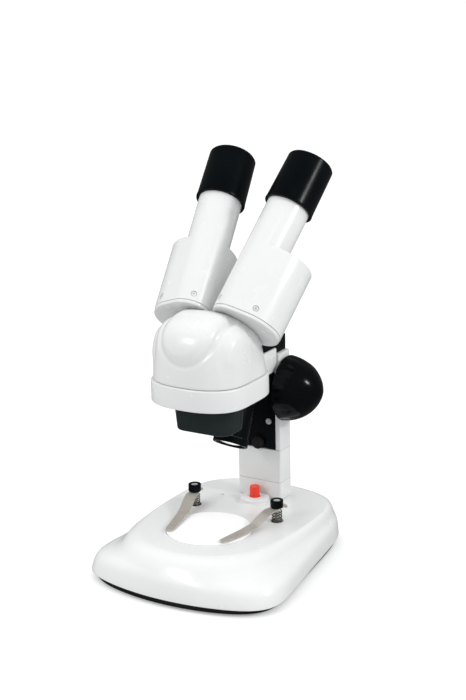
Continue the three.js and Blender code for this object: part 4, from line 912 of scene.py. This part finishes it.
for side, sx in (("left", -1), ("right", 1)):
    M4 = tube_matrix(sx)
    body = f"ocular_{side}"
    rows = [hull_loop(sx, -DRUM_BOTTOM, 0.25), hull_loop(sx, -DRUM_BOTTOM + 0.25, 0.0)]
    rows.append(hull_loop(sx, -(DRUM_TOP + DRUM_BOTTOM) / 2, 0.0))
    for k in range(8):
        a = math.pi / 2 * (1 - k / 7)
        rows.append(hull_loop(sx, -DRUM_TOP - 1.3 * (1 - math.cos(a)), 1.3 * (1 - math.sin(a))))
    hous = loft("hs", rows)
    tube = lathe("tb", fillet([(0, -DRUM_BOTTOM + 1.0), (TUBE_R, -DRUM_BOTTOM + 1.0), (TUBE_R, -20.0, 0.6), (0, -20.0)], 0.5), 160)
    boolean(hous, [tube], "UNION")
    inner = loft("in", [hull_loop(sx, -DRUM_BOTTOM - 1, 2.4), hull_loop(sx, -DRUM_TOP - 3, 2.4)])
    bore = lathe("br", [(0, -DRUM_TOP - 10), (12.9, -DRUM_TOP - 10), (12.9, 0), (0, 0)], 96)
    boolean(hous, [inner, bore])
    # screw seats round the lower edge
    seats, screws = [], []
    for ang in ((-128, -52, 30, 150) if sx > 0 else (-128, -52, 30, 150)):
        a = math.radians(ang)
        o = hull_outline(sx, 0.0)
        c = np.array([sx * DRUM_X * 0.6, DRUM_Y * 0.6])
        d = np.array([math.cos(a), math.sin(a)])
        q = o - c
        k = int(np.argmax((q @ d) / np.linalg.norm(q, axis=1)))
        p = o[k]
        t = o[(k + 2) % len(o)] - o[k - 2]
        nn = np.array([t[1], -t[0]])
        nn /= np.linalg.norm(nn)
        R = Matrix(((0, 0, nn[0]), (0, 0, nn[1]), (0, 0, 0))).to_3x3()
        zax = Vector((nn[0], nn[1], 0))
        xax = Vector((0, 0, 1))
        yax = zax.cross(xax)
        mm = Matrix((xax, yax, zax)).transposed().to_4x4()
        mm.translation = Vector((p[0], p[1], -DRUM_BOTTOM + 5.0)) * MM
        seats.append(transform(lathe("se", [(0, -1.1), (2.1, -1.1), (2.25, 3.0), (0, 3.0)], 40), M4 @ mm))
        sc = lathe("sc", fillet([(0, -1.6), (1.8, -1.6), (1.8, -0.32), (1.0, -0.16), (0, -0.14)], 0.2, 4), 40)
        boolean(sc, [block("x1", (-0.2, -0.75, -0.9), (0.2, 0.75, 1)), block("x2", (-0.75, -0.2, -0.9), (0.75, 0.2, 1))])
        transform(sc, M4 @ mm)
        screws.append(sc)
    transform(hous, M4)
    boolean(hous, seats)
    hous.name = f"ocular_shell_{side}"
    finish_piece(hous, WHITE_HEAD, body, [f"prism_housing_{side}"], 35)
    for i, sc in enumerate(screws):
        sc.name = f"housing_screw_{side}_{i + 1}"
        finish_piece(sc, PLATED, body)
    rows = []
    for k in range(6):
        a = math.pi / 2 * k / 5
        rows.append(hull_loop(sx, -COVER_BOTTOM + 0.8 * (1 - math.cos(a)), 0.3 + 0.8 * (1 - math.sin(a))))
    rows.append(hull_loop(sx, -DRUM_BOTTOM - 0.3, 0.3))
    cov = loft("cv", rows)
    hole = place(lathe("ho", [(0, -COVER_BOTTOM - 3), (7.3, -COVER_BOTTOM - 3), (7.3, -DRUM_BOTTOM + 3), (0, -DRUM_BOTTOM + 3)], 64), sx * PIVOT_X, PIVOT_Y, 0)
    boolean(cov, [hole])
    transform(cov, M4)
    cov.name = f"ocular_cover_{side}"
    finish_piece(cov, WHITE_HEAD, body, [f"prism_cover_{side}"], 35)
    prof = fillet(
        [
            (15.5, -CAP_LEN, 0),
            (CAP_R_BOT - 0.1, -CAP_LEN, 0.35),
            (CAP_R_BOT, -CAP_LEN + 1.3, 0.3),
            (CAP_R_BOT - 0.25, -CAP_LEN + 1.6, 0.3),
            (CAP_R_TOP + 0.02, -1.4, 1.0),
            (CAP_R_TOP - 1.1, 0, 0.9),
            (CAP_R_TOP - 2.4, -0.25, 0.8),
            (11.4, -0.4, 0.9),
            (10.2, -2.4, 0.6),
            (9.2, -5.2, 0.3),
            (11.2, -5.4, 0),
            (11.2, -50, 0),
            (12.6, -50, 0.3),
            (12.6, -19, 0),
            (15.5, -19, 0),
        ],
        0.4,
        6,
        True,
    )
    cap = lathe(f"eyepiece_hood_{side}", prof, 160, closed=True)
    finish_piece(transform(cap, M4), SATIN, f"eyepiece_{side}", [f"eyepiece_{side}"], 35)
    el = lathe(f"eye_glass_{side}", [(0, -9.6), (3, -9.5), (6, -9.2), (9, -8.6), (10.9, -8.0), (10.9, -6.6), (9, -6.25), (6, -5.95), (3, -5.78), (0, -5.7)], 96)
    finish_piece(transform(el, M4), LENS, f"eyepiece_{side}", [f"eye_lens_{side}"], 50)

# ------------------------------------------------------------------ CAD nodes that stay: materials and softened edges
KEEP = {
    SATIN: ["focus_carriage"],
    MATTE: ["battery_box", "battery_door", "switch_body"],
    RUBBER: ["foot_front_left", "foot_front_right", "foot_rear_left", "foot_rear_right", "carriage_bumper"],
    SCREW: [n for n in NODES if n.startswith(("base_screw", "pillar_bolt", "channel_screw", "carriage_screw", "head_screw", "focus_shaft", "clip_post"))],
    BRASS: ["focus_pinion", "focus_rack", "shaft_bush_left", "shaft_bush_right"],
    PRISM: ["porro_prism_left", "porro_prism_right"],
}
for mat, names in KEEP.items():
    for n in names:
        ob = NODES[n]
        ob.data.materials.clear()
        ob.data.materials.append(mat)
soften(NODES["focus_carriage"], 0.35, 40, 3)

# ------------------------------------------------------------------ floor, light, camera
floor_mesh = bpy.data.meshes.new("floor")
R = 30.0
ring_v = [(R * math.cos(2 * math.pi * i / 96), R * math.sin(2 * math.pi * i / 96), -0.0002) for i in range(96)]
floor_mesh.from_pydata(ring_v, [], [tuple(range(96))])
floor = bpy.data.objects.new("floor", floor_mesh)
scene.collection.objects.link(floor)
fmat, fnt, fb = nodes_of("floor_paper")
fn = noise_node(fnt, 8.0, 3.0)
fnt.links.new(mix_colour(fnt, fn, (0.765, 0.77, 0.775), (0.755, 0.76, 0.765)), fb.inputs["Base Color"])
fb.inputs["Roughness"].default_value = 0.55
fb.inputs["Specular IOR Level"].default_value = 0.2
fb.inputs["Emission Color"].default_value = (1.0, 1.0, 1.0, 1)
flp = fnt.nodes.new("ShaderNodeLightPath")
glow = ramp(fnt, flp.outputs["Is Camera Ray"], 0.0, 0.29)
fnt.links.new(glow, fb.inputs["Emission Strength"])
floor.data.materials.append(fmat)
floor.visible_glossy = False

world = bpy.data.worlds.new("studio")
scene.world = world
world.use_nodes = True
wn = world.node_tree
wn.nodes.clear()
wo = wn.nodes.new("ShaderNodeOutputWorld")
lp = wn.nodes.new("ShaderNodeLightPath")
layers = []
for strength in (0.64, 0.13, 1.0):
    bg = wn.nodes.new("ShaderNodeBackground")
    bg.inputs["Color"].default_value = (1.0, 1.0, 1.0, 1)
    bg.inputs["Strength"].default_value = strength
    layers.append(bg.outputs[0])
mix_g = wn.nodes.new("ShaderNodeMixShader")
wn.links.new(lp.outputs["Is Glossy Ray"], mix_g.inputs[0])
wn.links.new(layers[0], mix_g.inputs[1])
wn.links.new(layers[1], mix_g.inputs[2])
mix_c = wn.nodes.new("ShaderNodeMixShader")
wn.links.new(lp.outputs["Is Camera Ray"], mix_c.inputs[0])
wn.links.new(mix_g.outputs[0], mix_c.inputs[1])
wn.links.new(layers[2], mix_c.inputs[2])
wn.links.new(mix_c.outputs[0], wo.inputs[0])


def softbox(name, loc, target, size, power, size_y=None, colour=(1, 1, 1)):
    data = bpy.data.lights.new(name, "AREA")
    data.shape = "RECTANGLE" if size_y else "SQUARE"
    data.size = size
    if size_y:
        data.size_y = size_y
    data.energy = power
    data.color = colour
    data.cycles.max_bounces = 0
    ob = bpy.data.objects.new(name, data)
    scene.collection.objects.link(ob)
    ob.location = loc
    ob.rotation_mode = "QUATERNION"
    ob.rotation_quaternion = (Vector(target) - Vector(loc)).to_track_quat("-Z", "Y")
    return ob


def wash(name, direction, energy, angle):
    """Very soft parallel light from the given side."""
    data = bpy.data.lights.new(name, "SUN")
    data.energy = energy
    data.angle = math.radians(angle)
    ob = bpy.data.objects.new(name, data)
    scene.collection.objects.link(ob)
    ob.rotation_mode = "QUATERNION"
    ob.rotation_quaternion = Vector([-v for v in direction]).to_track_quat("-Z", "Y")
    ob.visible_glossy = False
    return ob


wash("wash_left", (-0.62, -0.08, 0.78), 0.97, 60)
wash("wash_right", (0.70, -0.16, 0.70), 0.56, 60)
wash("wash_back", (0.15, 0.55, 0.82), 0.46, 60)
softbox("side", (1.15, 0.10, 0.78), (0, 0, 0.15), 0.13, 4.6, 0.20)
softbox("front", (-0.62, -1.20, 0.62), (0, 0, 0.16), 0.34, 0.5)
softbox("key", (-0.45, -1.11, 0.83), (0, 0, 0.19), 0.32, 3.2)

cam_data = bpy.data.cameras.new("camera")
cam = bpy.data.objects.new("camera", cam_data)
scene.collection.objects.link(cam)
scene.camera = cam
cam_data.lens = 81.85
cam_data.sensor_width = 36.0
cam_data.clip_start, cam_data.clip_end = 0.05, 100.0
right = Vector((0.85866405, 0.51213947, -0.02022911)).normalized()
back = Vector((0.4971562, -0.82264735, 0.27583881)).normalized()
up = back.cross(right).normalized()
right = up.cross(back).normalized()
cm = Matrix((right, up, back)).transposed().to_4x4()
cm.translation = Vector((549.686, -872.682 - 24.7, 424.33 + 33.0)) * MM
cam.matrix_world = cm

scene.view_settings.view_transform = "Standard"
scene.view_settings.look = "None"
scene.view_settings.exposure = 0.0
